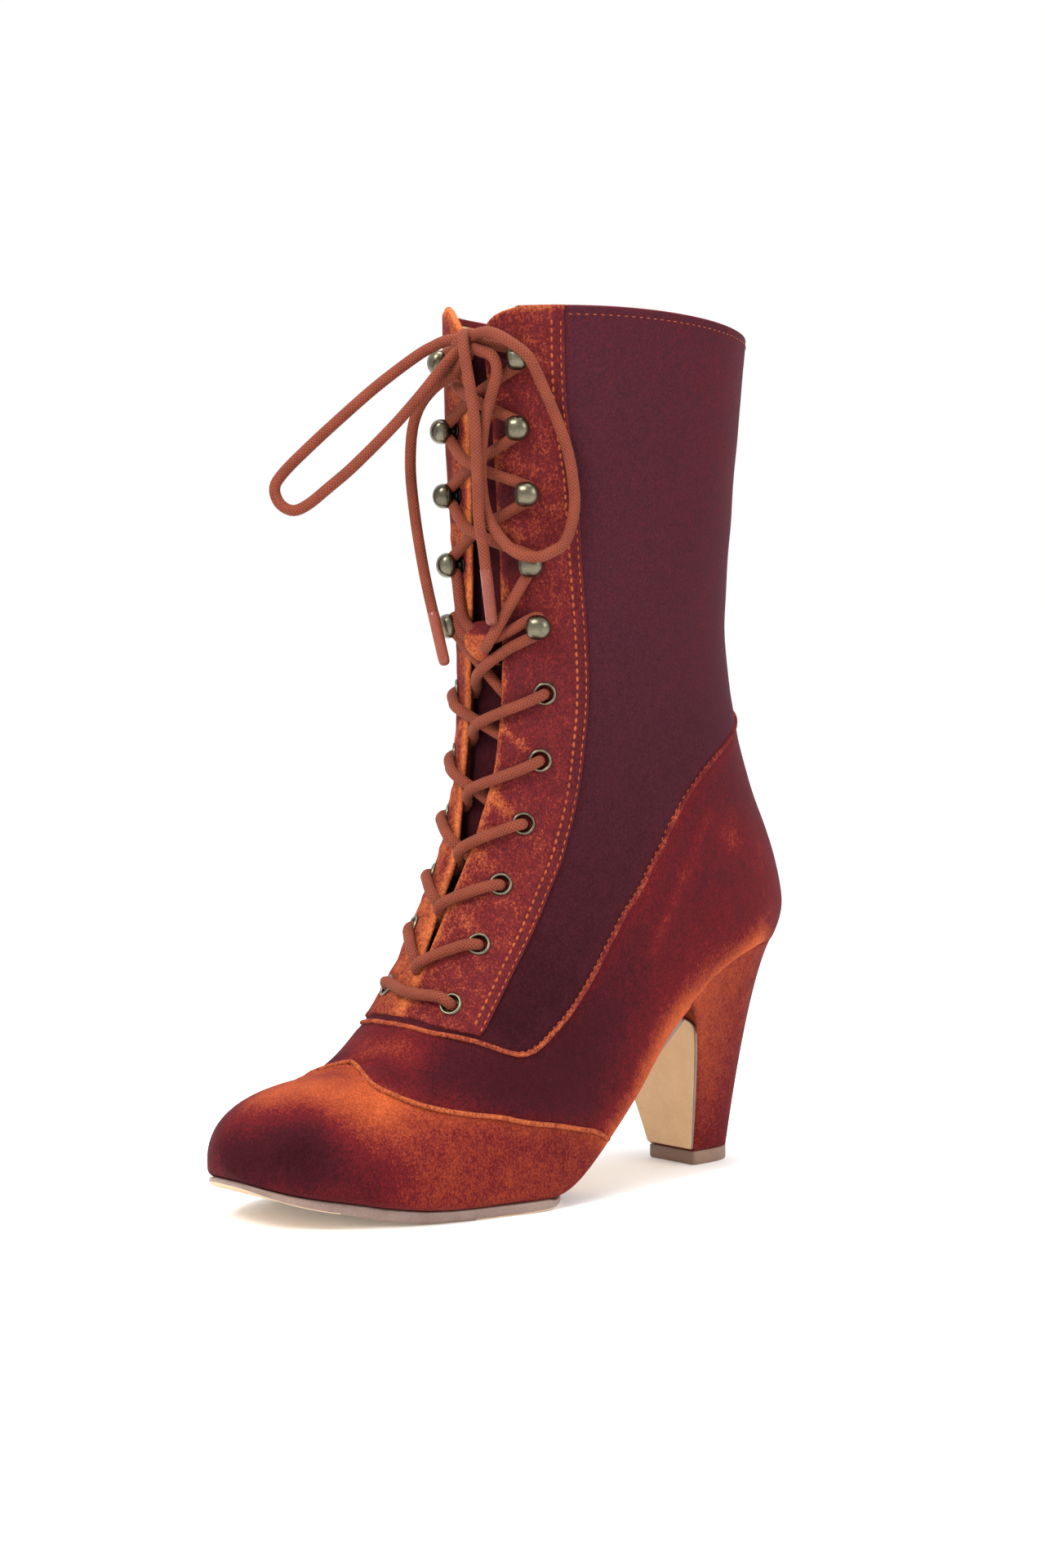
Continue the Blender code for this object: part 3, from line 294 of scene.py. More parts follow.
def onSkin(route):
    # Points of a route of station, distance from the front line and lift
    station, distance, lift = np.asarray(route, float).T
    return skin(station, aroundAt(station, distance), lift)


def smoothCurve(points, count, steps=24):
    # Evenly spread points on a Catmull-Rom curve
    points = np.asarray(points, float)
    padded = np.concatenate((2 * points[:1] - points[1:2], points, 2 * points[-1:] - points[-2:-1]))
    s = np.linspace(0.0, 1.0, steps, endpoint=False)[:, None]
    fine = []
    for a, b, c, d in zip(padded, padded[1:], padded[2:], padded[3:]):
        fine.append(0.5 * (2 * b + (c - a) * s + (2 * a - 5 * b + 4 * c - d) * s ** 2
                           + (3 * b - a - 3 * c + d) * s ** 3))
    fine = np.concatenate(fine + [points[-1:]])
    length = runLength(fine)
    return pickAlong(fine, length, np.linspace(0.0, length[-1], count))


def pathLength(path):
    return runLength(path)[-1]


def evenPath(points, spacing, roughCount=200, leastSteps=3):
    rough = smoothCurve(points, roughCount)
    return smoothCurve(points, max(round(pathLength(rough) / spacing), leastSteps) + 1)


print("last built")


# Mesh and piece helpers

meshSettings = {
    # metres within which points are one
    "weld": 4e-6,
    "endWeld": 2e-5,
    # share of the radius and of the reach, over the rounded end of a tube
    "cap": ((0.0, 0.55), (0.6, 0.42), (0.9, 0.16)),
    "tubeStart": (0.3, 0.2, 0.93),
}


def addGrid(work, points, keep=None, values=None, uv=None):
    # A plain grid of faces laid over an array of points; keep says which of its cells stay
    rows, columns = points.shape[0] - 1, points.shape[1] - 1
    layers = {}
    for name in values or {}:
        layers[name] = work.verts.layers.float.get(name) or work.verts.layers.float.new(name)
    uvLayer = work.loops.layers.uv.verify() if uv is not None else None
    made = bmesh.ops.create_grid(work, x_segments=rows, y_segments=columns, size=0.5)["verts"]
    faces = {face for vertex in made for face in vertex.link_faces}
    place = {}
    for vertex in made:
        place[vertex] = (round((vertex.co.x + 0.5) * rows), round((vertex.co.y + 0.5) * columns))
    if keep is not None:
        gone = []
        for face in faces:
            centre = face.calc_center_median()
            if not keep[int((centre.x + 0.5) * rows), int((centre.y + 0.5) * columns)]:
                gone.append(face)
        faces -= set(gone)
        bmesh.ops.delete(work, geom=gone, context="FACES")
    if uvLayer:
        for face in faces:
            for loop in face.loops:
                loop[uvLayer].uv = uv[place[loop.vert]]
    for vertex, (i, j) in place.items():
        if vertex.is_valid:
            vertex.co = points[i, j] * millimetre
            for name, layer in layers.items():
                vertex[layer] = values[name][i, j]
    return faces


def turnOutward(work, reference=None, faces=None):
    # Faces point outward: away from the inside of a closed mesh, or along the skin of an open sheet
    if faces is None:
        bmesh.ops.remove_doubles(work, verts=work.verts, dist=meshSettings["weld"])
        faces = work.faces[:]
    bmesh.ops.recalc_face_normals(work, faces=list(faces))
    if reference is None:
        inward = work.calc_volume(signed=True) < 0
    else:
        inward = sum(face.normal.dot(reference(face.calc_center_median() / millimetre)) for face in faces) < 0
    if inward:
        bmesh.ops.reverse_faces(work, faces=list(faces))


def closeEnds(work):
    bmesh.ops.remove_doubles(work, verts=work.verts, dist=meshSettings["endWeld"])
    bmesh.ops.holes_fill(work, edges=[edge for edge in work.edges if edge.is_boundary], sides=0)


def finishPiece(work, name, surface, nodes=()):
    bmesh.ops.remove_doubles(work, verts=work.verts, dist=meshSettings["weld"])
    mesh = bpy.data.meshes.new(name)
    work.to_mesh(mesh)
    work.free()
    mesh.materials.append(surface)
    mesh.shade_smooth()
    piece = bpy.data.objects.new(name, mesh)
    scene.collection.objects.link(piece)
    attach(piece, "root")
    if nodes:
        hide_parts(*nodes)
    return piece


def makeSolid(points, name, surface, node, values=None):
    # A closed piece from rings of points, filled at both ends
    work = bmesh.new()
    addGrid(work, points, values=values)
    closeEnds(work)
    turnOutward(work)
    return finishPiece(work, name, surface, (node,))


def joinRings(points):
    return np.concatenate((points, points[:, :1]), axis=1)


def addThickness(piece, thickness):
    thick = piece.modifiers.new("thickness", "SOLIDIFY")
    thick.thickness = thickness
    thick.offset = -1.0
    return thick


def tubeRings(path, radius, sides):
    # Rings square to a path, carried along without twist, with rounded ends, and their map in millimetres
    path = np.asarray(path, float)
    tangent = np.gradient(path, axis=0)
    tangent /= np.linalg.norm(tangent, axis=1, keepdims=True)
    radii = np.broadcast_to(np.asarray(radius, float), len(path))
    cap = np.array(meshSettings["cap"])
    count = len(cap)
    ahead, behind = tangent[0] * radii[0], tangent[-1] * radii[-1]
    centres = np.concatenate((path[0] - cap[:, 1:] * ahead, path, path[-1] + cap[::-1, 1:] * behind))
    directions = np.pad(tangent, ((count, count), (0, 0)), mode="edge")
    sizes = np.concatenate((cap[:, 0] * radii[0], radii, cap[::-1, 0] * radii[-1]))
    along = np.pad(runLength(path), count, mode="edge")
    turn = np.linspace(0.0, 2 * math.pi, sides + 1)
    across = np.cross(directions[0], meshSettings["tubeStart"])
    rings = []
    for centre, direction, size in zip(centres, directions, sizes):
        across = across - direction * across.dot(direction)
        across /= np.linalg.norm(across)
        other = np.cross(direction, across)
        rings.append(centre + size * (np.cos(turn)[:, None] * across + np.sin(turn)[:, None] * other))
    uv = np.stack(np.broadcast_arrays(along[:, None], np.linspace(0.0, 1.0, sides + 1)[None]), axis=-1)
    return np.array(rings), uv


def addTube(work, path, radius, sides):
    rings, uv = tubeRings(path, radius, sides)
    addGrid(work, rings, uv=uv)


# Material helpers


def addNode(tree, kind, inputs=None, **settings):
    made = tree.nodes.new(kind)
    for key, value in settings.items():
        setattr(made, key, value)
    for key, value in (inputs or {}).items():
        if isinstance(value, bpy.types.NodeSocket):
            tree.links.new(value, made.inputs[key])
        else:
            made.inputs[key].default_value = value
    return made


def maths(tree, operation, *values):
    return addNode(tree, "ShaderNodeMath", dict(enumerate(values)), operation=operation).outputs[0]


def mixColour(tree, share, first, second):
    # Inputs 6 and 7 and output 2 of a mix are its colours
    return addNode(tree, "ShaderNodeMix", {0: share, 6: first, 7: second}, data_type="RGBA").outputs[2]


def noiseAt(tree, vector, scale, detail=2.0, roughness=0.5, distortion=0.0):
    inputs = {"Vector": vector, "Scale": scale, "Detail": detail, "Roughness": roughness,
              "Distortion": distortion}
    return addNode(tree, "ShaderNodeTexNoise", inputs).outputs["Fac"]


def spread(tree, value, low, high, fromLow=0.0, fromHigh=1.0, smooth=True):
    kind = "SMOOTHSTEP" if smooth else "LINEAR"
    inputs = {"Value": value, "From Min": fromLow, "From Max": fromHigh, "To Min": low, "To Max": high}
    return addNode(tree, "ShaderNodeMapRange", inputs, interpolation_type=kind).outputs[0]


def newGroup(name, inputs):
    # A group with named inputs, which puts out a colour, a roughness and a height
    group = bpy.data.node_groups.new(name, "ShaderNodeTree")
    for label, value in inputs.items():
        kind = "NodeSocketColor" if isinstance(value, tuple) else "NodeSocketFloat"
        group.interface.new_socket(label, in_out="INPUT", socket_type=kind).default_value = value
    for label, kind in (("Color", "NodeSocketColor"), ("Roughness", "NodeSocketFloat"),
                        ("Height", "NodeSocketFloat")):
        group.interface.new_socket(label, in_out="OUTPUT", socket_type=kind)
    return group, group.nodes.new("NodeGroupInput").outputs


def endGroup(group, colour, roughness, height):
    target = group.nodes.new("NodeGroupOutput").inputs
    for label, value in (("Color", colour), ("Roughness", roughness), ("Height", height)):
        group.links.new(value, target[label])
    return group


def newMaterial(name, **constants):
    made = bpy.data.materials.new(name)
    made.use_nodes = True
    tree = made.node_tree
    shader = tree.nodes["Principled BSDF"]
    for key, value in constants.items():
        shader.inputs[key].default_value = value
    return made, tree, shader


def useGroup(tree, group, inputs, shader, bump):
    made = addNode(tree, "ShaderNodeGroup", inputs, node_tree=group)
    tree.links.new(made.outputs["Color"], shader.inputs["Base Color"])
    tree.links.new(made.outputs["Roughness"], shader.inputs["Roughness"])
    strength, distance = bump
    relief = {"Strength": strength, "Distance": distance, "Height": made.outputs["Height"]}
    normal = addNode(tree, "ShaderNodeBump", relief)
    tree.links.new(normal.outputs[0], shader.inputs["Normal"])


# Velvet: pile that shows a dark or a light side by the way it is brushed, and painted highlights and painted
# shade laid into the same attribute

velvetSettings = {
    # dark, middle and light side of the pile
    "wine": ((0.036, 0.0050, 0.0080, 1.0), (0.108, 0.0088, 0.0110, 1.0), (0.43, 0.085, 0.024, 1.0)),
    "rust": ((0.066, 0.0105, 0.0135, 1.0), (0.124, 0.0140, 0.0150, 1.0), (0.50, 0.130, 0.040, 1.0)),
    # cooler dark side, mixed in by the cool attribute as painted sheen
    "cool": (0.048, 0.0110, 0.0180, 1.0),
    # how much the pile is crushed and grained
    "wineRelief": (0.07, 0.11),
    "rustRelief": (0.15, 0.20),
    # weight, roughness and tint
    "wineSheen": (0.05, 0.4, (1.0, 0.55, 0.62, 1.0)),
    "rustSheen": (0.015, 0.4, (1.0, 0.5, 0.35, 1.0)),
    "specular": 0.04,
    "bump": (0.25, 0.0002),
    # scale, detail, roughness and distortion of each pattern, the part of its range in use, and its share
    "crushed": ((62.0, 3.0, 0.62, 1.4), (0.28, 0.74), 0.45),
    "dappled": ((300.0, 2.0, 0.6, 0.6), (0.3, 0.7), 0.55),
    "pile": ((1250.0, 2.0, 0.65), (0.28, 0.72), 0.6),
    "fleck": ((2600.0, 1.0, 0.6), (0.3, 0.7), 0.4),
    "drift": (17.0, 2.0, 0.5, 0.4),
    "driftShare": 0.2,
    "brushScale": (1.0, 1.0, 0.8),
    # where the middle and the light side come in, and how the lowest values and the grain darken, which
    # darkens the painted shade further as well as the pile
    "middleFrom": (0.0, 0.5),
    "lightFrom": (0.4, 1.08),
    "deepPileAndShade": (0.5, 1.0, -0.4, 0.05),
    "grainTone": (0.8, 1.2, -1.0, 1.0),
    "roughness": (0.72, 0.95, -1.0, 1.0),
}
baseTone = (0.3, 0.2, 0.1, 1.0)


def makeVelvetGroup(look):
    group, source = newGroup("velvetPile", {
        "Dark": baseTone, "Middle": baseTone, "Light": baseTone, "NapAndPaintedLight": 0.5, "Crush": 0.3, "Grain": 0.2,
        "Cool": 0.0})
    place = addNode(group, "ShaderNodeTexCoord").outputs["Object"]
    brushed = addNode(group, "ShaderNodeMapping", {"Vector": place, "Scale": look["brushScale"]}).outputs[0]

    def pattern(name, vector):
        values, span, share = look[name]
        return spread(group, noiseAt(group, vector, *values), -1.0, 1.0, *span), share

    def both(first, second):
        return maths(group, "MULTIPLY_ADD", *first, maths(group, "MULTIPLY", *second))

    pile = pattern("pile", brushed)
    mottle = both(pattern("dappled", brushed), pattern("crushed", place))
    grain = both(pile, pattern("fleck", brushed))
    drift = maths(group, "SUBTRACT", noiseAt(group, place, *look["drift"]), 0.5)
    napAndPaintedLight = maths(group, "MULTIPLY_ADD", mottle, source["Crush"], source["NapAndPaintedLight"])
    napAndPaintedLight = maths(group, "MULTIPLY_ADD", drift, look["driftShare"], napAndPaintedLight)
    napAndPaintedLight = maths(group, "MULTIPLY_ADD", grain, source["Grain"], napAndPaintedLight)
    dark = mixColour(group, source["Cool"], source["Dark"], look["cool"])
    lower = mixColour(group, spread(group, napAndPaintedLight, 0.0, 1.0, *look["middleFrom"]), dark, source["Middle"])
    lit = spread(group, napAndPaintedLight, 0.0, 1.0, *look["lightFrom"], smooth=False)
    whole = mixColour(group, lit, lower, source["Light"])
    shade = spread(group, grain, *look["grainTone"])
    # darker still where the value is lowest: deeper pile and deeper painted shade
    depth = maths(group, "MULTIPLY", spread(group, napAndPaintedLight, *look["deepPileAndShade"]), shade)
    tone = addNode(group, "ShaderNodeVectorMath", {0: whole, 3: depth}, operation="SCALE").outputs[0]
    return endGroup(group, tone, spread(group, pile[0], *look["roughness"]), grain)


velvetGroup = makeVelvetGroup(velvetSettings)


def makeVelvet(kind):
    weight, roughness, tint = velvetSettings[f"{kind}Sheen"]
    made, tree, shader = newMaterial(
        f"{kind}Velvet", **{"Sheen Weight": weight, "Sheen Roughness": roughness, "Sheen Tint": tint,
                            "Specular IOR Level": velvetSettings["specular"]})
    # the attribute read here holds the brush of the pile together with painted highlights and painted shade
    napAndPaintedLight = addNode(tree, "ShaderNodeAttribute", attribute_name="napAndPaintedLight").outputs["Fac"]
    cool = addNode(tree, "ShaderNodeAttribute", attribute_name="cool").outputs["Fac"]
    dark, middle, light = velvetSettings[kind]
    crush, grain = velvetSettings[f"{kind}Relief"]
    inputs = {"Dark": dark, "Middle": middle, "Light": light, "NapAndPaintedLight": napAndPaintedLight, "Crush": crush, "Grain": grain,
              "Cool": cool}
    useGroup(tree, velvetGroup, inputs, shader, velvetSettings["bump"])
    return made


wineVelvet = makeVelvet("wine")
rustVelvet = makeVelvet("rust")


# Woven cord, from the map of each tube

braidSettings = {
    "dark": (0.100, 0.019, 0.010, 1.0),
    "light": (0.225, 0.048, 0.024, 1.0),
    "pitch": 1.2,
    "strands": 8.0,
    # scale, detail and roughness
    "fuzz": (1800.0, 2.0, 0.7),
    "worn": (120.0, 2.0, 0.5),
    # shares of the weave, the fuzz and the wear in the shade, and the part of its range in use
    "shares": (0.5, 0.5, 0.5),
    "shadeFrom": (0.15, 0.95),
    "roughness": (0.65, 0.9),
    "fuzzHeight": 0.5,
    "bump": (0.6, 0.0004),
    "sheen": (0.08, 0.4, (1.0, 0.55, 0.35, 1.0)),
    "specular": 0.2,
}


def makeBraidGroup(look):
    group, source = newGroup("wovenCord", {"Dark": baseTone, "Light": baseTone, "Pitch": 1.6, "Strands": 6.0})
    split = addNode(group, "ShaderNodeSeparateXYZ", {0: addNode(group, "ShaderNodeUVMap").outputs[0]}).outputs
    along = maths(group, "DIVIDE", split[0], source["Pitch"])
    around = maths(group, "MULTIPLY", split[1], source["Strands"])
    waves = []
    for operation in ("ADD", "SUBTRACT"):
        phase = maths(group, "MULTIPLY", maths(group, operation, along, around), 2 * math.pi)
        waves.append(maths(group, "SINE", phase))
    weave = maths(group, "MULTIPLY_ADD", maths(group, "MAXIMUM", *waves), 0.5, 0.5)
    place = addNode(group, "ShaderNodeTexCoord").outputs["Object"]
    fuzz = noiseAt(group, place, *look["fuzz"])
    worn = noiseAt(group, place, *look["worn"])
    weaveShare, fuzzShare, wornShare = look["shares"]
    shade = maths(group, "MULTIPLY_ADD", weave, weaveShare, maths(group, "MULTIPLY", fuzz, fuzzShare))
    shade = maths(group, "MULTIPLY_ADD", maths(group, "SUBTRACT", worn, 0.5), wornShare, shade)
    lit = spread(group, shade, 0.0, 1.0, *look["shadeFrom"])
    tone = mixColour(group, lit, source["Dark"], source["Light"])
    height = maths(group, "ADD", weave, maths(group, "MULTIPLY", fuzz, look["fuzzHeight"]))
    return endGroup(group, tone, spread(group, fuzz, *look["roughness"]), height)


def makeLaceCord(look):
    weight, roughness, tint = look["sheen"]
    made, tree, shader = newMaterial(
        "laceCord", **{"Sheen Weight": weight, "Sheen Roughness": roughness, "Sheen Tint": tint,
                       "Specular IOR Level": look["specular"]})
    inputs = {"Dark": look["dark"], "Light": look["light"], "Pitch": look["pitch"],
              "Strands": look["strands"]}
    useGroup(tree, makeBraidGroup(look), inputs, shader, look["bump"])
    return made


laceCord = makeLaceCord(braidSettings)


# Leather, rubber, lining, thread and metal share one grain

grainSettings = {
    # scale, detail and roughness
    "cloud": (70.0, 3.0, 0.6),
    "dust": (1500.0, 2.0, 0.6),
    "cloudShare": 0.6,
    "dustShare": 0.4,
    "shadeFrom": (0.25, 0.75),
    # dark and light tone, size of the grain, gloss and its range, bump
    "finishes": {
        "soleEdge": ((0.15, 0.092, 0.076), (0.25, 0.165, 0.138), 500.0, 0.34, 0.3, (0.15, 0.0002)),
        "soleTread": ((0.52, 0.36, 0.22), (0.68, 0.50, 0.32), 450.0, 0.55, 0.3, (0.25, 0.0003)),
        "breastLeather": ((0.56, 0.35, 0.17), (0.70, 0.47, 0.26), 500.0, 0.5, 0.25, (0.2, 0.0003)),
        "topPieceRubber": ((0.16, 0.085, 0.055), (0.23, 0.135, 0.09), 900.0, 0.5, 0.3, (0.25, 0.0003)),
        "lining": ((0.56, 0.40, 0.20), (0.72, 0.55, 0.32), 800.0, 0.7, 0.2, (0.2, 0.0003)),
        "agedBrass": ((0.085, 0.076, 0.052), (0.20, 0.18, 0.125), 900.0, 0.3, 0.2, (0.06, 0.0002)),
        # near-black brass of the hook stems, partly painted shade in the hook's mouth
        "stemBrassInShade": ((0.010, 0.008, 0.006), (0.030, 0.026, 0.020), 900.0, 0.45, 0.2, (0.06, 0.0002)),
        "seamThread": ((0.21, 0.040, 0.016), (0.37, 0.088, 0.031), 1400.0, 0.6, 0.2, (0.3, 0.0002)),
        "cutEdge": ((0.14, 0.085, 0.070), (0.22, 0.15, 0.125), 900.0, 0.5, 0.2, (0.2, 0.0002)),
        "clearSleeve": ((0.15, 0.030, 0.018), (0.25, 0.062, 0.038), 900.0, 0.22, 0.1, (0.05, 0.0002)),
    },
    "constants": {
        "agedBrass": {"Metallic": 1.0},
        "stemBrassInShade": {"Metallic": 1.0},
        "seamThread": {"Specular IOR Level": 0.1},
        "clearSleeve": {"Coat Weight": 0.2, "Coat Roughness": 0.06, "Specular IOR Level": 0.2},
    },
    # painted reflection on the rim of the clear sleeve: tone, most of it, and where it comes in
    "rimTone": (0.70, 0.52, 0.43, 1.0),
    "reflectionMost": 0.6,
    "reflectionFrom": (0.6, 0.95),
}


def makeGrainGroup(look):
    group, source = newGroup("fineGrain", {
        "Dark": baseTone, "Light": baseTone, "Size": 600.0, "Gloss": 0.4, "Range": 0.2})
    place = addNode(group, "ShaderNodeTexCoord").outputs["Object"]
    voronoi = addNode(group, "ShaderNodeTexVoronoi", {"Vector": place, "Scale": source["Size"]})
    cloud = noiseAt(group, place, *look["cloud"])
    dust = noiseAt(group, place, *look["dust"])
    dusty = maths(group, "MULTIPLY", dust, look["dustShare"])
    shade = maths(group, "ADD", maths(group, "MULTIPLY", cloud, look["cloudShare"]), dusty)
    lit = spread(group, shade, 0.0, 1.0, *look["shadeFrom"])
    tone = mixColour(group, lit, source["Dark"], source["Light"])
    cloudy = maths(group, "SUBTRACT", cloud, 0.5)
    gloss = maths(group, "MULTIPLY_ADD", cloudy, source["Range"], source["Gloss"])
    return endGroup(group, tone, gloss, maths(group, "ADD", voronoi.outputs["Distance"], dusty))


grainGroup = makeGrainGroup(grainSettings)


def makeGrain(name):
    dark, light, size, gloss, span, bump = grainSettings["finishes"][name]
    made, tree, shader = newMaterial(name, **grainSettings["constants"].get(name, {}))
    inputs = {"Dark": (*dark, 1.0), "Light": (*light, 1.0), "Size": size, "Gloss": gloss, "Range": span}
    useGroup(tree, grainGroup, inputs, shader, bump)
    return made


def makeSleeve():
    # Clear sleeve: the lace shows in the middle and a painted reflection lightens the rim
    made = makeGrain("clearSleeve")
    tree = made.node_tree
    base = tree.nodes["Principled BSDF"].inputs["Base Color"]
    tone = base.links[0].from_socket
    rim = addNode(tree, "ShaderNodeLayerWeight", {"Blend": 0.5}).outputs["Facing"]
    paintedReflection = spread(tree, rim, 0.0, grainSettings["reflectionMost"], *grainSettings["reflectionFrom"])
    tree.links.new(mixColour(tree, paintedReflection, tone, grainSettings["rimTone"]), base)
    return made


soleEdge, soleTread = makeGrain("soleEdge"), makeGrain("soleTread")
breastLeather, cutEdge = makeGrain("breastLeather"), makeGrain("cutEdge")
rubber, lining = makeGrain("topPieceRubber"), makeGrain("lining")
brass, stemBrassInShade = makeGrain("agedBrass"), makeGrain("stemBrassInShade")
thread = makeGrain("seamThread")
sleeve = makeSleeve()
print("materials made")


# Lace: loops and ends of the bow, which hang free, then the stretches that hold the throat

laceSettings = {
    "radius": 1.95,
    "sides": 14,
    "spacing": 1.2,
    # station, distance from the front line and lift
    "knot": (15.73, 5.0, 6.2),
    "outerLoop": (
        (15.77, 7.4, 7.4), (15.80, 11.4, 8.8), (15.79, 15.8, 10.2), (15.72, 20.6, 11.0), (15.60, 25.6, 10.8),
        (15.42, 28.4, 7.2), (15.12, 32.7, 4.5), (14.88, 35.5, 4.2), (14.63, 36.9, 4.2), (14.30, 37.0, 4.4),
        (13.97, 33.6, 6.6), (13.86, 29.4, 9.6), (13.81, 25.7, 11.5), (13.84, 21.3, 11.7), (13.95, 17.2, 10.6),
        (14.20, 12.2, 9.2), (14.53, 10.4, 8.9), (14.83, 10.8, 8.9), (15.10, 12.3, 8.9), (15.33, 14.6, 8.9),
        (15.45, 16.0, 8.9), (15.55, 16.1, 9.0), (15.62, 14.7, 9.0), (15.655, 11.4, 8.6), (15.69, 7.6, 7.6)),
    "frontEnd": (
        (15.80, 6.4, 9.6), (15.76, 7.2, 11.6), (15.66, 8.2, 12.8), (15.50, 9.4, 13.2), (15.30, 10.6, 13.3),
        (15.05, 11.4, 13.3), (14.80, 11.4, 13.2), (14.50, 11.3, 13.2), (14.20, 11.2, 13.4),
        (13.92, 11.3, 11.8), (13.68, 11.4, 11.1)),
    "innerEnd": (
        (15.62, 4.6, 7.6), (15.50, 1.6, 9.0), (15.44, -2.2, 10.6), (15.36, -6.2, 12.2), (15.25, -10.3, 13.5),
        (15.10, -13.0, 14.6), (14.90, -14.4, 15.2), (14.63, -15.4, 15.2), (14.20, -15.1, 14.4),
        (13.78, -12.9, 13.7), (13.45, -10.6, 13.3), (13.18, -8.5, 13.1)),
    # distances from the knot outward, upward and toward the front
    "innerLoop": (
        (2.8, 1.2, -0.4), (7.6, 1.0, -0.8), (12.0, -0.6, -1.4), (18.7, -4.2, -1.6), (32.3, -13.9, -1.5),
        (45.9, -25.2, -1.2), (57.0, -35.0, -0.8), (65.2, -43.0, -0.2), (68.3, -48.1, 0.2), (66.5, -53.4, 0.7),
        (61.6, -56.0, 1.2), (56.0, -54.0, 1.6), (48.0, -48.0, 2.2), (39.3, -41.0, 2.6), (25.7, -28.2, 3.0),
        (16.2, -18.1, 3.4), (9.6, -10.4, 3.6), (5.4, -5.2, 2.6), (2.2, -1.6, 0.8)),
    "innerLoopOutward": (-0.8, -0.6, 0.0),
    "innerLoopForward": (0.6, -0.8, 0.0),
    "agletLength": 18.0,
    "agletRadius": 2.05,
    "agletRings": 14,
    # place along it and share of its radius
    "agletTaper": ((0.0, 1.0), (17.0, 0.98), (18.0, 0.88)),
    "knotHalfSize": (3.9, 4.2, 2.0),
    "knotPoints": 90,
}
knotPlace = onSkin([laceSettings["knot"]])[0]


def makeFreeCord(name, points, node):
    path = evenPath(points, laceSettings["spacing"])
    work = bmesh.new()
    addTube(work, path, laceSettings["radius"], laceSettings["sides"])
    turnOutward(work)
    piece = finishPiece(work, name, laceCord, (node,))
    return piece


def makeAglet(name, points, node):
    end = points[-1]
    ahead = end - points[-2]
    ahead /= np.linalg.norm(ahead)
    at = np.linspace(0.0, laceSettings["agletLength"], laceSettings["agletRings"])
    thick = np.interp(at, *np.array(laceSettings["agletTaper"]).T) * laceSettings["agletRadius"]
    work = bmesh.new()
    addTube(work, end + at[:, None] * ahead, thick, laceSettings["sides"])
    turnOutward(work)
    return finishPiece(work, name, sleeve, (node,))


def makeBow():
    outward, up, forward = np.array(laceSettings["innerLoop"]).T[:, :, None]
    inner = knotPlace + outward * np.array(laceSettings["innerLoopOutward"])
    inner = inner + forward * np.array(laceSettings["innerLoopForward"]) + up * np.array((0.0, 0.0, 1.0))
    makeFreeCord("laceLoopInner", inner, "lace_loop_inner")
    makeFreeCord("laceLoopOuter", onSkin(laceSettings["outerLoop"]), "lace_loop_outer")
    for label in ("front", "inner"):
        points = onSkin(laceSettings[f"{label}End"])
        aglet = makeAglet(f"aglet{label.title()}", points, f"aglet_{label}")
        makeFreeCord(f"laceEnd{label.title()}", points, f"lace_end_{label}")


makeBow()
print("bow made")


# Throat and seams

throatSettings = {
    # station, outer and inner edge of the slit as distances to the outer side, rear edge of the facing
    "rows": (
        (2.75, 4.0, 2.8, 37.0), (4.0, 5.0, 2.0, 36.0), (6.0, 5.2, 0.4, 36.2), (7.5, 6.9, -1.9, 38.0),
        (9.0, 8.1, -4.2, 38.7), (10.3, 9.3, -6.2, 39.3), (12.3, 9.6, -7.4, 39.7), (13.0, 10.0, -5.6, 39.4),
        (13.7, 10.5, -3.2, 38.7), (14.6, 10.5, -1.2, 38.3), (15.2, 9.8, -1.0, 35.8), (15.6, 7.4, -1.4, 35.4),
        (15.74, 6.4, -1.8, 35.4), (15.83, 7.2, -3.4, 35.5), (15.90, 9.0, -6.2, 35.5),
        (15.95, 11.8, -9.2, 35.5), (15.98, 15.2, -12.0, 35.6), (16.0, 19.0, -14.5, 35.6)),
    "slit": 2.75,
    "aboveSeam": 0.14,
    # up to a station, millimetres along the shaft from one station to the next
    "stationLengths": ((13.9, 27.0), (15.0, 33.0), (16.0, 42.0)),
}
seamSettings = {
    # station and share of the way around
    "quarter": (
        (1.76, 0.0), (1.80, 0.07), (1.93, 0.155), (2.20, 0.220), (2.48, 0.268), (2.75, 0.312), (2.95, 0.343),
        (3.14, 0.367), (3.42, 0.389), (3.88, 0.413), (4.43, 0.436), (4.95, 0.447), (5.65, 0.440),
        (6.8, 0.420), (8.3, 0.416), (9.38, 0.443), (10.2, 0.498), (10.83, 0.575), (11.3, 0.660),
        (11.68, 0.758), (12.0, 0.880), (12.1, 1.0)),
    "toe": (
        (1.06, 0.0), (0.84, 0.160), (0.98, 0.255), (1.28, 0.335), (1.77, 0.408), (2.42, 0.470), (3.08, 0.542),
        (3.58, 0.645), (3.76, 0.715)),
    "samples": 900,
    # only every so many of the samples are used to find what lies near a seam
    "nearStep": 8,
}
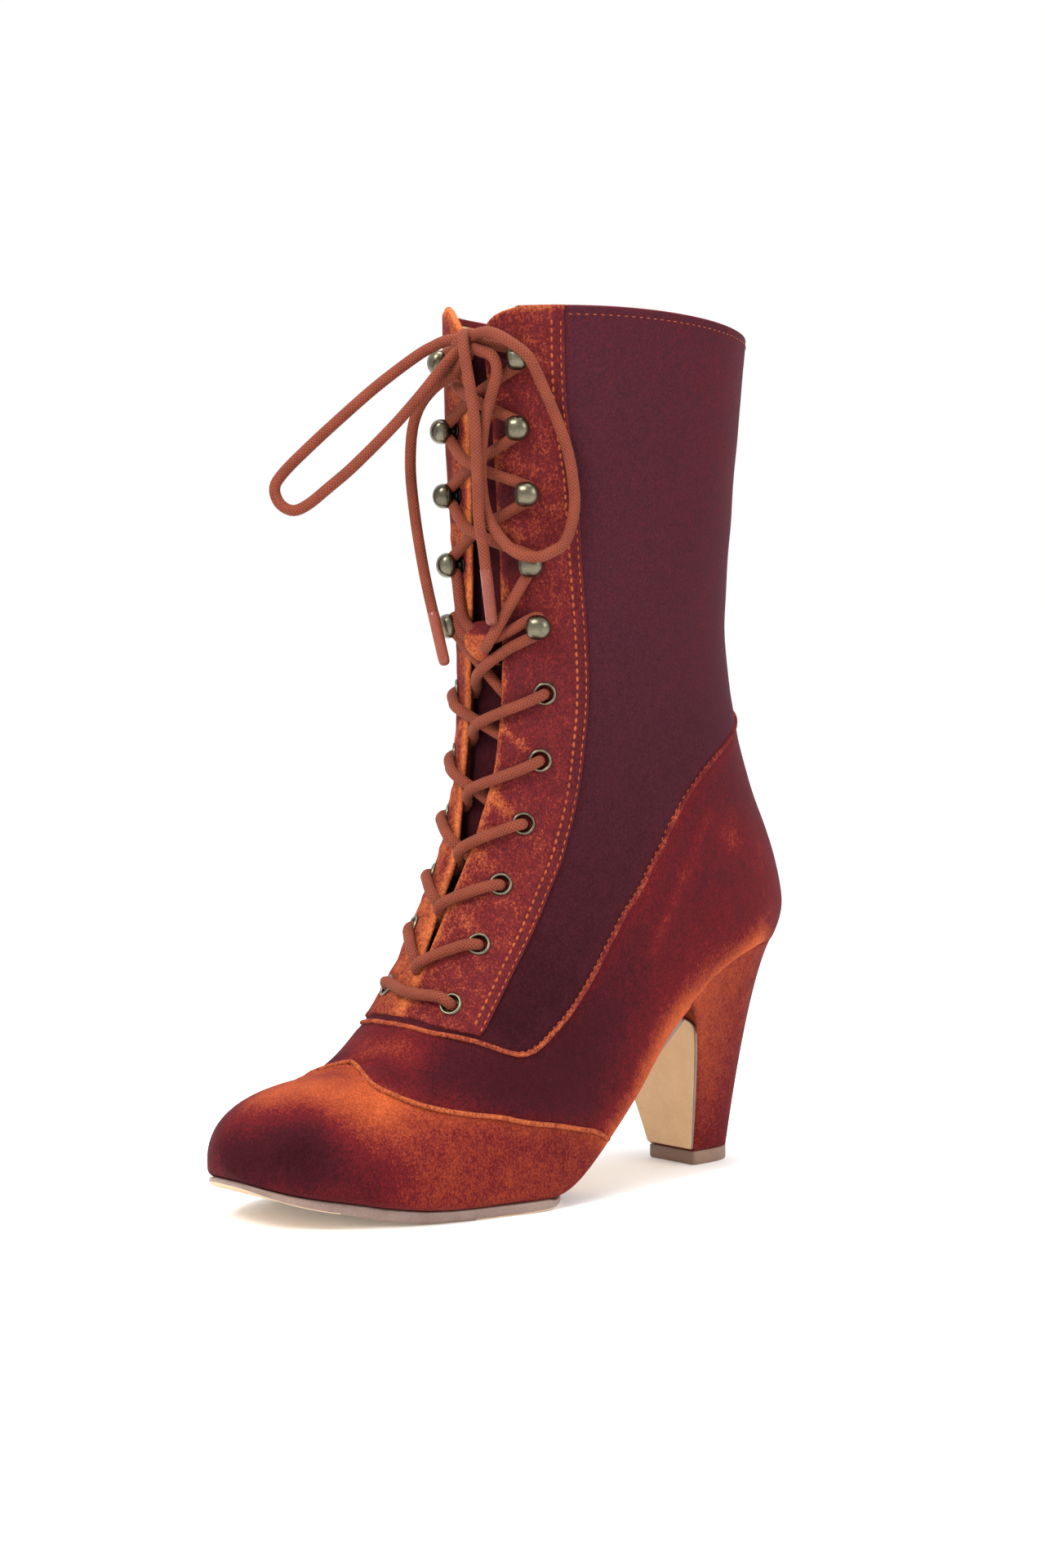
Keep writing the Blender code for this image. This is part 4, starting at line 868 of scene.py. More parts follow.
fittingSettings = {
    # station, distances to the outer and to the inner side
    "eyelets": (
        (2.56, 21.6, 12.4), (4.04, 21.6, 11.0), (5.72, 20.3, 14.2), (8.28, 22.4, 16.2), (10.56, 24.9, 18.6),
        (12.04, 25.1, 21.4)),
    "hooks": (
        (13.0, 24.2, 12.6), (13.72, 22.9, 10.6), (14.44, 22.9, 10.6), (15.04, 21.0, 10.6),
        (15.6, 21.7, 11.6)),
    "lift": 1.25,
    "turns": 28,
    "eyeletProfile": (
        (2.85, -2.6), (2.85, 0.15), (2.95, 0.5), (3.2, 0.78), (3.5, 0.82), (3.8, 0.62), (4.0, 0.28),
        (4.02, 0.0), (3.9, -0.2)),
    # the head, and the stem that stands nearer the throat; the stem's near-black tone is partly its own and
    # partly painted shade in the hook's mouth
    "headProfile": (
        (0.0, 2.3), (2.2, 2.35), (3.5, 2.7), (4.1, 3.4), (4.3, 4.3), (4.2, 5.3), (3.75, 6.4), (2.9, 7.3),
        (1.6, 7.95), (0.0, 8.15)),
    "stemProfile": (
        (2.9, -0.3), (2.95, 0.3), (2.6, 0.6), (1.5, 0.75), (1.15, 1.1), (1.1, 2.0), (1.4, 2.5), (1.6, 3.4)),
    # points along the three profiles
    "profilePoints": (22, 24, 14),
    "stemShift": 1.7,
    # how flat the head ends toward the throat
    "headFlat": 0.35,
}
throatStations, outerEdges, innerEdges, throatRears = np.array(throatSettings["rows"]).T
quarterSeam = smoothCurve(seamSettings["quarter"], seamSettings["samples"])
toeSeam = smoothCurve(seamSettings["toe"], seamSettings["samples"])


def throatEdge(station, side):
    # Edge of the slit on one side, as a distance to the outer side of the front line
    return np.interp(station, throatStations, outerEdges if side > 0 else innerEdges)


def rearEdge(station):
    return np.interp(station, throatStations, throatRears)


def stationLength(station):
    # Millimetres along the shaft from one station to the next
    return next(length for top, length in throatSettings["stationLengths"] if station <= top)


def seamStation(around):
    # Station of the quarter seam at a share of the way around
    return np.interp(np.abs(around), quarterSeam[:, 1], quarterSeam[:, 0])


def evenRows(low, high, count, around=(0.0, 0.35, 0.7), fineCount=800):
    # Stations that lie about evenly apart on the skin
    fine = np.linspace(low, high, fineCount)
    points = skin(fine[:, None], np.array(around)[None])
    steps = np.linalg.norm(np.diff(points, axis=0), axis=2).max(axis=1)
    length = np.concatenate(([0.0], np.cumsum(steps)))
    return np.interp(np.linspace(0.0, length[-1], count), length, fine)


def nearness(points, line, radius):
    # How near points lie to a line of stations and shares drawn on both sides: 1 on it, fading away
    flat = points.reshape(-1, 3)
    places = np.concatenate([skin(line[:, 0], side * line[:, 1]) for side in (-1, 1)])
    square = (flat ** 2).sum(axis=1)[:, None] + (places ** 2).sum(axis=1)[None] - 2 * flat @ places.T
    return np.exp(-square.min(axis=1).clip(0.0) / radius ** 2).reshape(points.shape[:-1])


def strokes(points, rows, steps=30):
    # Sum of painted strokes: each is a line of stations and shares, a radius and an amount
    total = np.zeros(points.shape[:-1])
    for line, radius, amount in rows:
        total += amount * nearness(points, smoothCurve(line, steps), radius)
    return total


# Upper: one skin from the toe to the collar, with its folds, open under the facing

upperSettings = {
    "rows": 340,
    "columns": 220,
    "overlap": 6.0,
    "aboveSeam": 0.3,
    # height and lift over the collar and down inside
    "rim": (
        (0.35, -0.2), (0.6, -0.7), (0.6, -1.3), (0.35, -1.75), (-0.3, -1.95), (-4.0, -1.95), (-11.0, -1.95)),
    # amount and radius of the groove in each seam and of the swell beside it
    "groove": (-0.45, 2.4),
    "swell": (0.3, 6.0),
    # height of the soft unevenness, and its scale
    "soft": (0.35, 0.035),
    # brush of the pile on the toe, the band behind it and the counter, and the painted highlight on the rim
    "napAndPaintedLight": (0.47, 0.15, 0.22),
    "rimHighlight": 0.3,
    # station and stations over which the band turns into the counter
    "counterFrom": (2.6, 1.6),
    # how cool the counter turns and over which stations: painted sheen
    "counterCool": (0.5, (4.0, 9.0)),
    # station, brush and coolness of the shaft: it lightens toward the top as painted light, and the coolness
    # is painted sheen
    "shaft": ((3.0, 0.02, 0.2), (7.0, -0.10, 0.5), (11.0, -0.06, 0.8), (13.5, 0.03, 1.0), (16.0, 0.09, 1.0)),
    # strokes are weaker on the inner side, from a share of the way around on
    "innerShare": 0.55,
    "innerFrom": -0.4,
    # amount and radius of the lit edges along the seams
    "edge": (0.16, 5.0),
    # strokes of painted highlight and painted shade, such as the lit top and the shaded front of the toe and
    # the lit rim along the waist, with some brush of the pile: lines as station and share of the way around,
    # with a radius and an amount
    "brushed": (
        (((-0.85, 0.47), (-0.55, 0.42), (-0.4, 0.42)), 13.0, -0.5),
        (((-0.3, 0.48), (-0.1, 0.52), (0.1, 0.56)), 12.0, -0.25),
        (((-0.15, 0.0), (0.08, 0.05), (0.35, 0.167), (0.6, 0.27)), 11.0, 0.32),
        (((1.35, 0.0), (1.5, 0.1), (1.55, 0.16)), 7.0, 0.3),
        (((10.2, 0.58), (9.38, 0.525), (7.9, 0.5), (6.35, 0.54), (5.8, 0.565)), 3.2, 0.15),
        (((9.93, 0.64), (9.8, 0.647)), 7.0, 0.2),
        (((9.78, 0.758), (8.98, 0.792), (7.95, 0.835)), 12.0, 0.14),
        (((6.95, 0.825), (6.18, 0.823), (5.63, 0.80), (5.15, 0.765), (4.73, 0.762), (4.38, 0.758),
          (3.9, 0.748)), 7.5, 0.6),
        (((6.95, 0.80), (5.63, 0.75), (4.73, 0.71), (3.9, 0.70)), 15.0, 0.12),
        (((2.88, 0.407), (3.63, 0.528), (4.23, 0.588)), 20.0, -0.10),
        (((3.08, 0.242), (3.48, 0.33), (4.1, 0.365)), 26.0, -0.22),
        (((15.45, 0.67), (14.1, 0.685), (12.73, 0.66)), 22.0, 0.05),
    ),
    "creases": (
        (((0.43, 0.132), (0.73, 0.08), (0.85, 0.02)), 2.4, -0.7),
        (((1.03, 0.188), (1.15, 0.127), (1.08, 0.008)), 2.4, -0.8),
        (((0.62, 0.17), (0.93, 0.105), (0.97, 0.015)), 2.6, 0.5),
        (((10.2, 0.58), (9.38, 0.525), (7.9, 0.5), (6.35, 0.54), (5.8, 0.565)), 2.6, 0.35),
        (((14.18, 0.605), (14.15, 0.75)), 11.0, 0.9),
        (((13.0, 0.6), (12.95, 0.78)), 12.0, -0.8),
        (((11.83, 0.58), (11.93, 0.75)), 9.0, 0.8),
    ),
}


def nearSeams(points, amount, radius):
    step = seamSettings["nearStep"]
    return sum(amount * nearness(points, seam[::step], radius) for seam in (quarterSeam, toeSeam))


def upperNapAndPaintedLight(points, stations, around):
    # Which way the pile is brushed, each panel with its own, and painted highlights and painted shade in
    # strokes and lit edges along the seams; the coolness it returns is painted sheen
    share = np.abs(around)
    toe, band, counter = upperSettings["napAndPaintedLight"]
    heights, brushes, coolness = np.array(upperSettings["shaft"]).T
    shaft = np.interp(stations, heights, brushes)
    seamShares = np.interp(stations, quarterSeam[:, 0], quarterSeam[:, 1])
    inFront = (stations > quarterSeam[0, 0]) & (share < seamShares)
    onToe = stations < np.interp(share, toeSeam[:, 1], toeSeam[:, 0])
    start, length = upperSettings["counterFrom"]
    behind = np.clip((stations - start) / length, 0.0, 1.0)
    napAndPaintedLight = np.where(onToe, toe, np.where(inFront, shaft, band * (1 - behind) + counter * behind))
    napAndPaintedLight = napAndPaintedLight + nearSeams(points, *upperSettings["edge"])
    most, span = upperSettings["counterCool"]
    counterCool = most * np.interp(stations, span, (0.0, 1.0))
    cool = np.where(inFront, np.interp(stations, heights, coolness), counterCool)
    bySideShare = np.interp(around, (upperSettings["innerFrom"], 0.0), (upperSettings["innerShare"], 1.0))
    return napAndPaintedLight + bySideShare * strokes(points, upperSettings["brushed"]), np.where(onToe, 0.0, cool)


def makeUpper():
    stations = evenRows(-1.0, collar, upperSettings["rows"])
    around = np.linspace(-1.0, 1.0, upperSettings["columns"] + 1)
    rows = np.broadcast_to(stations[:, None], (len(stations), len(around)))
    columns = np.broadcast_to(around[None], rows.shape)
    bare = skin(rows, columns)
    lift = strokes(bare, upperSettings["creases"])
    lift = lift + nearSeams(bare, *upperSettings["groove"]) + nearSeams(bare, *upperSettings["swell"])
    height, scale = upperSettings["soft"]
    soft = np.array([noise.fractal(Vector(p * scale), 1.0, 2.0, 2) for p in bare.reshape(-1, 3)])
    lift = lift + height * soft.reshape(rows.shape)
    points = skin(rows, columns, lift)
    napAndPaintedLight, cool = upperNapAndPaintedLight(bare, rows, columns)
    rimRows = []
    for up, inward in upperSettings["rim"]:
        rimRows.append(skin(rows[-1], columns[-1], inward) + (0.0, 0.0, up))
    points = np.concatenate((points, rimRows))
    # the rim rows take a painted highlight
    napAndPaintedLight = np.concatenate((napAndPaintedLight, np.repeat(napAndPaintedLight[-1:] + upperSettings["rimHighlight"], len(rimRows), axis=0)))
    cool = np.concatenate((cool, np.repeat(cool[-1:], len(rimRows), axis=0)))
    distance = np.abs(columns) * bySide("length", rows, columns)
    inside = distance < rearEdge(rows) - upperSettings["overlap"]
    inside = inside & (rows > seamStation(columns) + upperSettings["aboveSeam"])
    inside = np.concatenate((inside, np.repeat(inside[-1:], len(rimRows), axis=0)))
    keep = ~(inside[:-1, :-1] & inside[1:, 1:])
    work = bmesh.new()
    addGrid(work, points, keep=keep, values={"napAndPaintedLight": napAndPaintedLight, "cool": cool})
    turnOutward(work, awayFromLeg)
    finishPiece(work, "upper", wineVelvet, ("upper",))


makeUpper()
print("upper made")


# Lining and insole

liningSettings = {
    "rows": 110,
    "halfColumns": 48,
    "from": -0.96,
    "to": 15.95,
    "lift": -1.9,
    "insole": -4.2,
    # share of the way around over which the insole comes in, and its last station and fade
    "insoleFade": 0.1,
    "insoleEnd": (7.9, 0.6),
    # station where the front opens, stations over which it does, and how far it stays behind the facing
    "opens": 2.6,
    "openLength": 0.8,
    "behindFacing": 2.0,
}


def makeLining():
    stations = evenRows(liningSettings["from"], liningSettings["to"], liningSettings["rows"])
    opened = np.clip((stations - liningSettings["opens"]) / liningSettings["openLength"], 0.0, 1.0)
    insoleEnd, endFade = liningSettings["insoleEnd"]
    work = bmesh.new()
    for side in (-1, 1):
        behind = rearEdge(stations) - liningSettings["behindFacing"]
        edge = opened * np.abs(aroundAt(stations, side * behind))
        share = np.linspace(0.0, 1.0, liningSettings["halfColumns"] + 1)[None]
        columns = side * (edge[:, None] + (1 - edge)[:, None] * share)
        rows = np.broadcast_to(stations[:, None], columns.shape)
        past = np.abs(columns) - featherAt(rows, columns)
        under = np.clip(past / liningSettings["insoleFade"], 0.0, 1.0)
        under = under * np.clip((insoleEnd - rows) / endFade, 0.0, 1.0)
        lift = liningSettings["lift"] + (liningSettings["insole"] - liningSettings["lift"]) * under
        addGrid(work, skin(rows, columns, lift))
    turnOutward(work, lambda centre: -awayFromLeg(centre))
    finishPiece(work, "lining", lining, ("insole",))


makeLining()
print("lining made")


# Facing: a folded band round the throat with holes for the eyelets

facingSettings = {
    "rows": 220,
    "flat": 26,
    "lift": 1.2,
    # columns where rows are spread evenly, and columns below the slit
    "rowsAt": (0.05, 0.2),
    "bridge": 8,
    # tip of the inner side at the collar: height, distance, half width, first station and stations to its top
    "innerTip": (2.0, -13.5, 5.5, 15.3, 0.7),
    # brush of the pile, then amounts and reaches of the painted highlights and painted shade on it
    "napAndPaintedLight": 0.27,
    "foldGlow": (0.38, 2.2),
    "innerGlow": ((2.0, 0.16), (11.0, 0.2), (13.0, 0.36)),
    "innerReach": 11.0,
    "hookShade": (0.5, 5.0, 4.2),
    "hookShadeShift": (8.0, 5.0),
    "rimGlow": (0.35, 1.2),
    "rearShade": (0.18, 1.8, 2.2),
    # amount, station and its reach, distance and its reach
    "frontGlow": (0.22, 3.2, 2.0, -6.0, 14.0),
    # station and brush up the boot
    "climb": (
        (2.5, 0.09), (6.0, 0.08), (10.5, 0.02), (12.6, -0.06), (13.4, 0.05), (14.5, 0.12), (16.0, 0.06)),
    # puckers: height, distance and its reach, then amount, waves by station and by distance
    "pucker": (0.22, 17.0, 7.0),
    "puckerWaves": ((1.0, 5.1, 0.33), (0.6, 9.7, -0.5)),
    "creaseHeight": 1.8,
    # pulled creases by the eyelets: line of stations and distances, radius, and amount; the same lines lift
    # the folds and lighten the colour as a painted highlight
    "creases": (
        (((11.25, 12.0), (11.0, 16.0), (10.85, 19.5)), 2.4, 0.26),
        (((9.25, 10.5), (8.9, 14.0), (8.65, 17.0)), 2.4, 0.28),
        (((6.75, 8.5), (6.35, 12.0), (6.1, 15.0)), 2.4, 0.18),
        (((4.75, 8.0), (4.5, 12.0), (4.3, 15.5)), 2.4, 0.16),
        (((13.4, 13.0), (13.3, 17.0)), 2.2, 0.2),
        (((14.1, 14.0), (14.0, 19.0)), 2.2, 0.16),
    ),
    "holeRadius": 3.2,
    # cells this much inside the edge of a hole go, as far as this from the skin
    "holeSlack": 0.5,
    "holeDepth": 4.0,
    # points nearer the middle of a hole than this count as this far from it
    "holeLeast": 0.05,
    # offset from the rear edge and lift, from the skin up over the cut edge
    "rear": ((0.5, 0.0), (0.4, 0.55), (0.1, 0.95), (-0.5, 1.2)),
    # share of the way up to the slit and share of the lift, at the lower edge
    "lower": ((-0.01, 0.0), (0.0, 0.5), (0.015, 0.85), (0.04, 1.0)),
    "lowerRows": 26,
    # share of the thickness and height, over the upper edge from the outside in
    "crest": ((1.0, 0.0), (0.9, 0.3), (0.55, 0.55), (0.0, 0.62), (-0.55, 0.55), (-0.9, 0.3), (-1.0, -0.6)),
    "crestColumns": 60,
    # how far it runs past the fold and the rear, the length over which it swells, its lift and its painted
    # highlight
    "crestPast": (0.05, 0.4),
    "crestSwell": 1.4,
    "crestLift": 0.2,
    "crestHighlight": 0.62,
    # offset from the throat and lift, over the fold and back inside
    "fold": (
        (1.6, 1.25), (0.8, 1.2), (0.25, 0.95), (0.0, 0.45), (0.05, -0.15), (0.5, -0.6), (2.0, -0.75),
        (8.0, -0.8), (16.0, -0.85), (24.0, -0.9), (32.0, -0.95)),
}


def openHoles(points):
    # Opens a round hole under each eyelet: cells inside it go, and the points about it move out to its edge
    keep = np.ones((points.shape[0] - 1, points.shape[1] - 1), bool)
    cells = (points[:-1, :-1] + points[1:, :-1] + points[:-1, 1:] + points[1:, 1:]) / 4
    radius = facingSettings["holeRadius"]
    for station, outer, inner in fittingSettings["eyelets"]:
        for distance in (outer, -inner):
            around = aroundAt(station, distance)
            centre, normal = skin(station, around), skinNormal(station, around)

            def away(places):
                reach = places - centre
                high = reach @ normal
                flat = reach - high[..., None] * normal
                return flat, np.linalg.norm(flat, axis=-1), np.abs(high) < facingSettings["holeDepth"]

            flat, size, near = away(cells)
            keep &= ~(near & (size < radius - facingSettings["holeSlack"]))
            flat, size, near = away(points)
            push = near & (size < radius)
            grow = radius / np.maximum(size, facingSettings["holeLeast"]) - 1
            points[push] += (flat * grow[..., None])[push]
    return keep


def eyeletCreases(stations, distance):
    lines = []
    for line, radius, amount in facingSettings["creases"]:
        places = [(station, float(aroundAt(station, across))) for station, across in line]
        lines.append((places, radius, amount))
    return strokes(skin(stations, aroundAt(stations, distance)), lines)


def bell(value, reach):
    # 1 at zero, fading over the reach
    return np.exp(-(value / reach) ** 2)


def facingNapAndPaintedLight(stations, distance):
    # Lighter along the fold of the throat, on the inner side and low down, darker about the hooks: painted
    # highlights and painted shadow, with more highlight at the collar rim and on the eyelet creases and shade
    # along the rear edge
    outerEdge, innerEdge = throatEdge(stations, 1), throatEdge(stations, -1)
    nearer = np.where(distance > (outerEdge + innerEdge) / 2, outerEdge, innerEdge)
    fold = np.abs(distance - nearer)
    amount, reach = facingSettings["foldGlow"]
    napAndPaintedLight = facingSettings["napAndPaintedLight"] + amount * bell(fold, reach)
    inner = np.interp(stations, *np.array(facingSettings["innerGlow"]).T)
    inner = inner * bell(fold, facingSettings["innerReach"])
    napAndPaintedLight = napAndPaintedLight + np.where(distance < 0, inner, 0.0)
    amount, across, up = facingSettings["hookShade"]
    outerShift, innerShift = facingSettings["hookShadeShift"]
    for station, outer, innerHook in fittingSettings["hooks"]:
        high = bell((stations - station) * stationLength(station), up)
        for centre in (outer - outerShift, innerShift - innerHook):
            napAndPaintedLight = napAndPaintedLight - amount * bell(distance - centre, across) * high
    amount, reach = facingSettings["rimGlow"]
    napAndPaintedLight = napAndPaintedLight + amount * bell((collar - stations) * stationLength(collar), reach)
    napAndPaintedLight = napAndPaintedLight + np.interp(stations, *np.array(facingSettings["climb"]).T)
    amount, station, up, centre, across = facingSettings["frontGlow"]
    napAndPaintedLight = napAndPaintedLight + amount * bell(stations - station, up) * bell(distance - centre, across)
    amount, inset, reach = facingSettings["rearShade"]
    napAndPaintedLight = napAndPaintedLight - amount * bell(rearEdge(stations) - np.abs(distance) - inset, reach)
    return napAndPaintedLight + eyeletCreases(stations, distance)


def facingFolds(stations, distance):
    # Small puckers between the eyelets, which fade toward the fold and the rear edge
    height, centre, reach = facingSettings["pucker"]
    away = np.abs(distance)
    wave = 0.0
    for amount, up, across in facingSettings["puckerWaves"]:
        wave = wave + amount * np.sin(stations * up + away * across)
    creases = facingSettings["creaseHeight"] * eyeletCreases(stations, distance)
    return height * bell(away - centre, reach) * wave + creases


def innerTip(stations, distance):
    # The inner side stands up in a small tip at the collar
    height, centre, reach, start, length = facingSettings["innerTip"]
    tip = bell(distance - centre, reach) * np.clip((stations - start) / length, 0.0, 1.0) ** 2
    return np.where(distance < 0, height * tip, 0.0)


def addCrest(work, side, fold, rear):
    # Closes the upper edge between the outer and the inner layer, from the fold to the rear
    pastFold, pastRear = facingSettings["crestPast"]
    distance = np.linspace(fold + pastFold, rear + pastRear, facingSettings["crestColumns"])[None]
    shares, heights = np.array(facingSettings["crest"]).T[:, :, None]
    half = np.sqrt(np.clip((distance - fold) / facingSettings["crestSwell"], 0.0, 1.0))
    points = skin(collar, aroundAt(collar, side * distance), facingSettings["crestLift"] + half * shares)
    points[..., 2] += heights * half + innerTip(collar, side * distance)
    faces = addGrid(work, points, values={"napAndPaintedLight": np.full(points.shape[:2], facingSettings["crestHighlight"])})
    turnOutward(work, lambda centre: Vector((0.0, 0.0, 1.0)), faces)


def makeFacing():
    slit = throatSettings["slit"]
    rearOffset, rearLift = np.array(facingSettings["rear"]).T
    foldOffset, foldLift = np.array(facingSettings["fold"]).T
    flat = facingSettings["flat"]
    high = facingSettings["lift"]
    stations = evenRows(slit, collar, facingSettings["rows"], facingSettings["rowsAt"])
    share = np.linspace(0.0, 1.0, flat + 2)[None, 1:-1]
    work = bmesh.new()
    lowerSides = []
    for side in (-1, 1):
        gap, rear = side * throatEdge(stations, side)[:, None], rearEdge(stations)[:, None]
        start, end = rear + rearOffset[-1], gap + foldOffset[0]
        between = start + (end - start) * share
        distance = np.concatenate((rear + rearOffset, between, gap + foldOffset), axis=1)
        lift = np.concatenate((rearLift, np.full(flat, high), foldLift))
        lift = np.broadcast_to(lift[None], distance.shape)
        rows = np.broadcast_to(stations[:, None], distance.shape)
        around = aroundAt(rows, side * distance)
        points = skin(rows, around, lift + facingFolds(rows, side * distance))
        points[..., 2] += innerTip(rows, side * distance)
        napAndPaintedLight = facingNapAndPaintedLight(rows, side * distance)
        addGrid(work, points, keep=openHoles(points), values={"napAndPaintedLight": napAndPaintedLight})
        flatEnd = len(rearOffset) + flat + 1
        lowerSides.append((around[0, :flatEnd], lift[0, :flatEnd]))
    # Below the slit the band runs across, down to the quarter seam
    (inner, innerLift), (outer, outerLift) = lowerSides
    bridge = np.linspace(inner[-1], outer[-1], facingSettings["bridge"])[1:-1]
    around = np.concatenate((inner, bridge, outer[::-1]))
    lift = np.concatenate((innerLift, np.full(len(bridge), foldLift[0]), outerLift[::-1]))
    lower = seamStation(around) + throatSettings["aboveSeam"]
    rise = np.array(facingSettings["lower"])
    climb = np.concatenate((rise[:, 0], np.linspace(rise[-1, 0], 1.0, facingSettings["lowerRows"])[1:]))
    fade = np.concatenate((rise[:, 1], np.ones(facingSettings["lowerRows"] - 1)))
    rows = lower[None] + (slit - lower)[None] * climb[:, None]
    columns = np.broadcast_to(around[None], rows.shape)
    across = columns * bySide("length", np.maximum(rows, slit), columns)
    points = skin(rows, columns, (lift[None] + facingFolds(rows, across)) * fade[:, None])
    addGrid(work, points, keep=openHoles(points), values={"napAndPaintedLight": facingNapAndPaintedLight(rows, across)})
    turnOutward(work, awayFromLeg)
    for side in (-1, 1):
        addCrest(work, side, side * float(throatEdge(collar, side)), float(rearEdge(collar)))
    finishPiece(work, "facing", rustVelvet, ("facing",))


makeFacing()
print("facing made")


# Piping along both seams

pipingSettings = {
    "radius": 0.85,
    "sides": 10,
    "lift": 0.35,
    "spacing": 1.2,
    # place from front to back, and brush of the pile
    "napAndPaintedLight": {"quarter": ((-12.0, 0.6), (15.0, 0.43), (70.0, 0.38), (95.0, 0.44)), "toe": ((0.0, 0.68),)},
}


def seamRoute(seam, lift, spacing):
    # Points along a seam on both sides, in one run from the inner side over the front to the outer
    around = np.concatenate((-seam[:0:-1, 1], seam[:, 1]))
    stations = np.concatenate((seam[:0:-1, 0], seam[:, 0]))
    points = skin(stations, around, lift)
    length = runLength(points)
    return pickAlong(points, length, np.linspace(0.0, length[-1], round(length[-1] / spacing)))


def makePiping():
    for label, seam in (("quarter", quarterSeam), ("toe", toeSeam)):
        path = seamRoute(seam, pipingSettings["lift"], pipingSettings["spacing"])
        work = bmesh.new()
        rings = tubeRings(path, pipingSettings["radius"], pipingSettings["sides"])[0]
        places, brushes = np.array(pipingSettings["napAndPaintedLight"][label]).T
        addGrid(work, rings, values={"napAndPaintedLight": np.interp(rings[..., 1], places, brushes)})
        turnOutward(work)
        finishPiece(work, f"{label}Piping", rustVelvet, (f"{label}_piping",))


makePiping()
print("piping made")


# Stitches: two rows along the rear edge of the facing, one under the rim and one along the quarter seam

stitchSettings = {
    "pitch": 2.8,
    # sides round a stitch and rings along it
    "segments": (6, 4),
    # half the length, width and height; the seam's own stitches are smaller
    "seamHalfSize": (0.8, 0.22, 0.2),
    # distance in from the rear edge of the facing, and half size
    "facingRows": ((0.8, (0.95, 0.30, 0.28)), (3.8, (1.05, 0.52, 0.34))),
    # first and last station of those rows, how far they stand over the facing, and samples along a row
    "facingSpan": (2.62, 15.93),
    "facingLift": 0.05,
    "samples": 600,
    # station of the row under the rim, its start behind the facing, lift and samples
    "rimStation": 15.94,
    "rimStart": 1.5,
    "rimLift": 0.1,
    "rimSamples": 300,
    # share of the way around before the quarter seam, first station and lift
    "seamShift": 0.007,
    "seamFrom": 2.3,
    "seamLift": 0.3,
    # length without stitches at both ends of a row
    "bare": 1.0,
}


def addStitches(work, stitch, stations, around, lift, halfSize):
    # Small rounded threads laid end to end along a line on the skin
    points = skin(stations, around, lift)
    length = runLength(points)
    bare = stitchSettings["bare"]
    at = np.arange(bare, length[-1] - bare, stitchSettings["pitch"])
    places = pickAlong(points, length, at)
    normals = skinNormal(np.interp(at, length, stations), np.interp(at, length, around))
    ahead = np.gradient(places, axis=0)
    for place, normal, along in zip(places, normals, ahead):
        x = Vector(along).normalized()
        y = Vector(normal).cross(x).normalized()
        turn = Matrix((x, y, x.cross(y))).transposed().to_4x4()
        size = Matrix.Diagonal((*(value * millimetre for value in halfSize), 1.0))
        laid = stitch.copy()
        laid.transform(Matrix.Translation(Vector(place * millimetre)) @ turn @ size)
        work.from_mesh(laid)
        bpy.data.meshes.remove(laid)


def makeStitches():
    work = bmesh.new()
    sides, rings = stitchSettings["segments"]
    bmesh.ops.create_uvsphere(work, u_segments=sides, v_segments=rings, radius=1.0)
    stitch = bpy.data.meshes.new("stitch")
    work.to_mesh(stitch)
    work.clear()
    small = stitchSettings["seamHalfSize"]
    stations = np.linspace(*stitchSettings["facingSpan"], stitchSettings["samples"])
    high = facingSettings["lift"] + stitchSettings["facingLift"]
    rim, count = stitchSettings["rimStation"], stitchSettings["rimSamples"]
    seam = quarterSeam[quarterSeam[:, 0] > stitchSettings["seamFrom"]]
    for side in (-1, 1):
        for inset, size in stitchSettings["facingRows"]:
            around = aroundAt(stations, side * (rearEdge(stations) - inset))
            addStitches(work, stitch, stations, around, high, size)
        start = float(aroundAt(rim, side * (rearEdge(rim) + stitchSettings["rimStart"])))
        around = np.linspace(start, side * 1.0, count)
        addStitches(work, stitch, np.full(count, rim), around, stitchSettings["rimLift"], small)
        around = side * (seam[:, 1] - stitchSettings["seamShift"])
        addStitches(work, stitch, seam[:, 0], around, stitchSettings["seamLift"], small)
    bpy.data.meshes.remove(stitch)
    finishPiece(work, "stitches", thread)


makeStitches()
print("stitches made")


# Eyelets and ball hooks, turned about the skin's normal

def fittingFrame(station, distance):
    around = aroundAt(station, distance)
    centre = skin(station, around, fittingSettings["lift"])
    axis = Vector(skinNormal(station, around)).normalized()
    further = aroundAt(station, distance + math.copysign(1.0, distance))
    outward = Vector(skin(station, further, fittingSettings["lift"]) - centre)
    outward = (outward - axis * outward.dot(axis)).normalized()
    matrix = Matrix((outward, axis.cross(outward), axis)).transposed().to_4x4()
    matrix.translation = Vector(centre * millimetre)
    return matrix


def addTurned(work, profile, matrix, flat=0.0):
    old = set(work.verts)
    points = [work.verts.new((radius * millimetre, 0.0, height * millimetre)) for radius, height in profile]
    edges = [work.edges.new(pair) for pair in zip(points, points[1:])]
    bmesh.ops.spin(work, geom=points + edges, cent=(0, 0, 0), axis=(0, 0, 1), angle=2 * math.pi,
                   steps=fittingSettings["turns"], use_merge=True)
    made = [vertex for vertex in work.verts if vertex not in old]
    for vertex in made:
        x, y = abs(vertex.co.x), abs(vertex.co.y)
        if vertex.co.x < 0:
            vertex.co.xy *= (math.hypot(x, y) / max(x, y, 1e-9)) ** flat
    bmesh.ops.transform(work, matrix=matrix, verts=made)


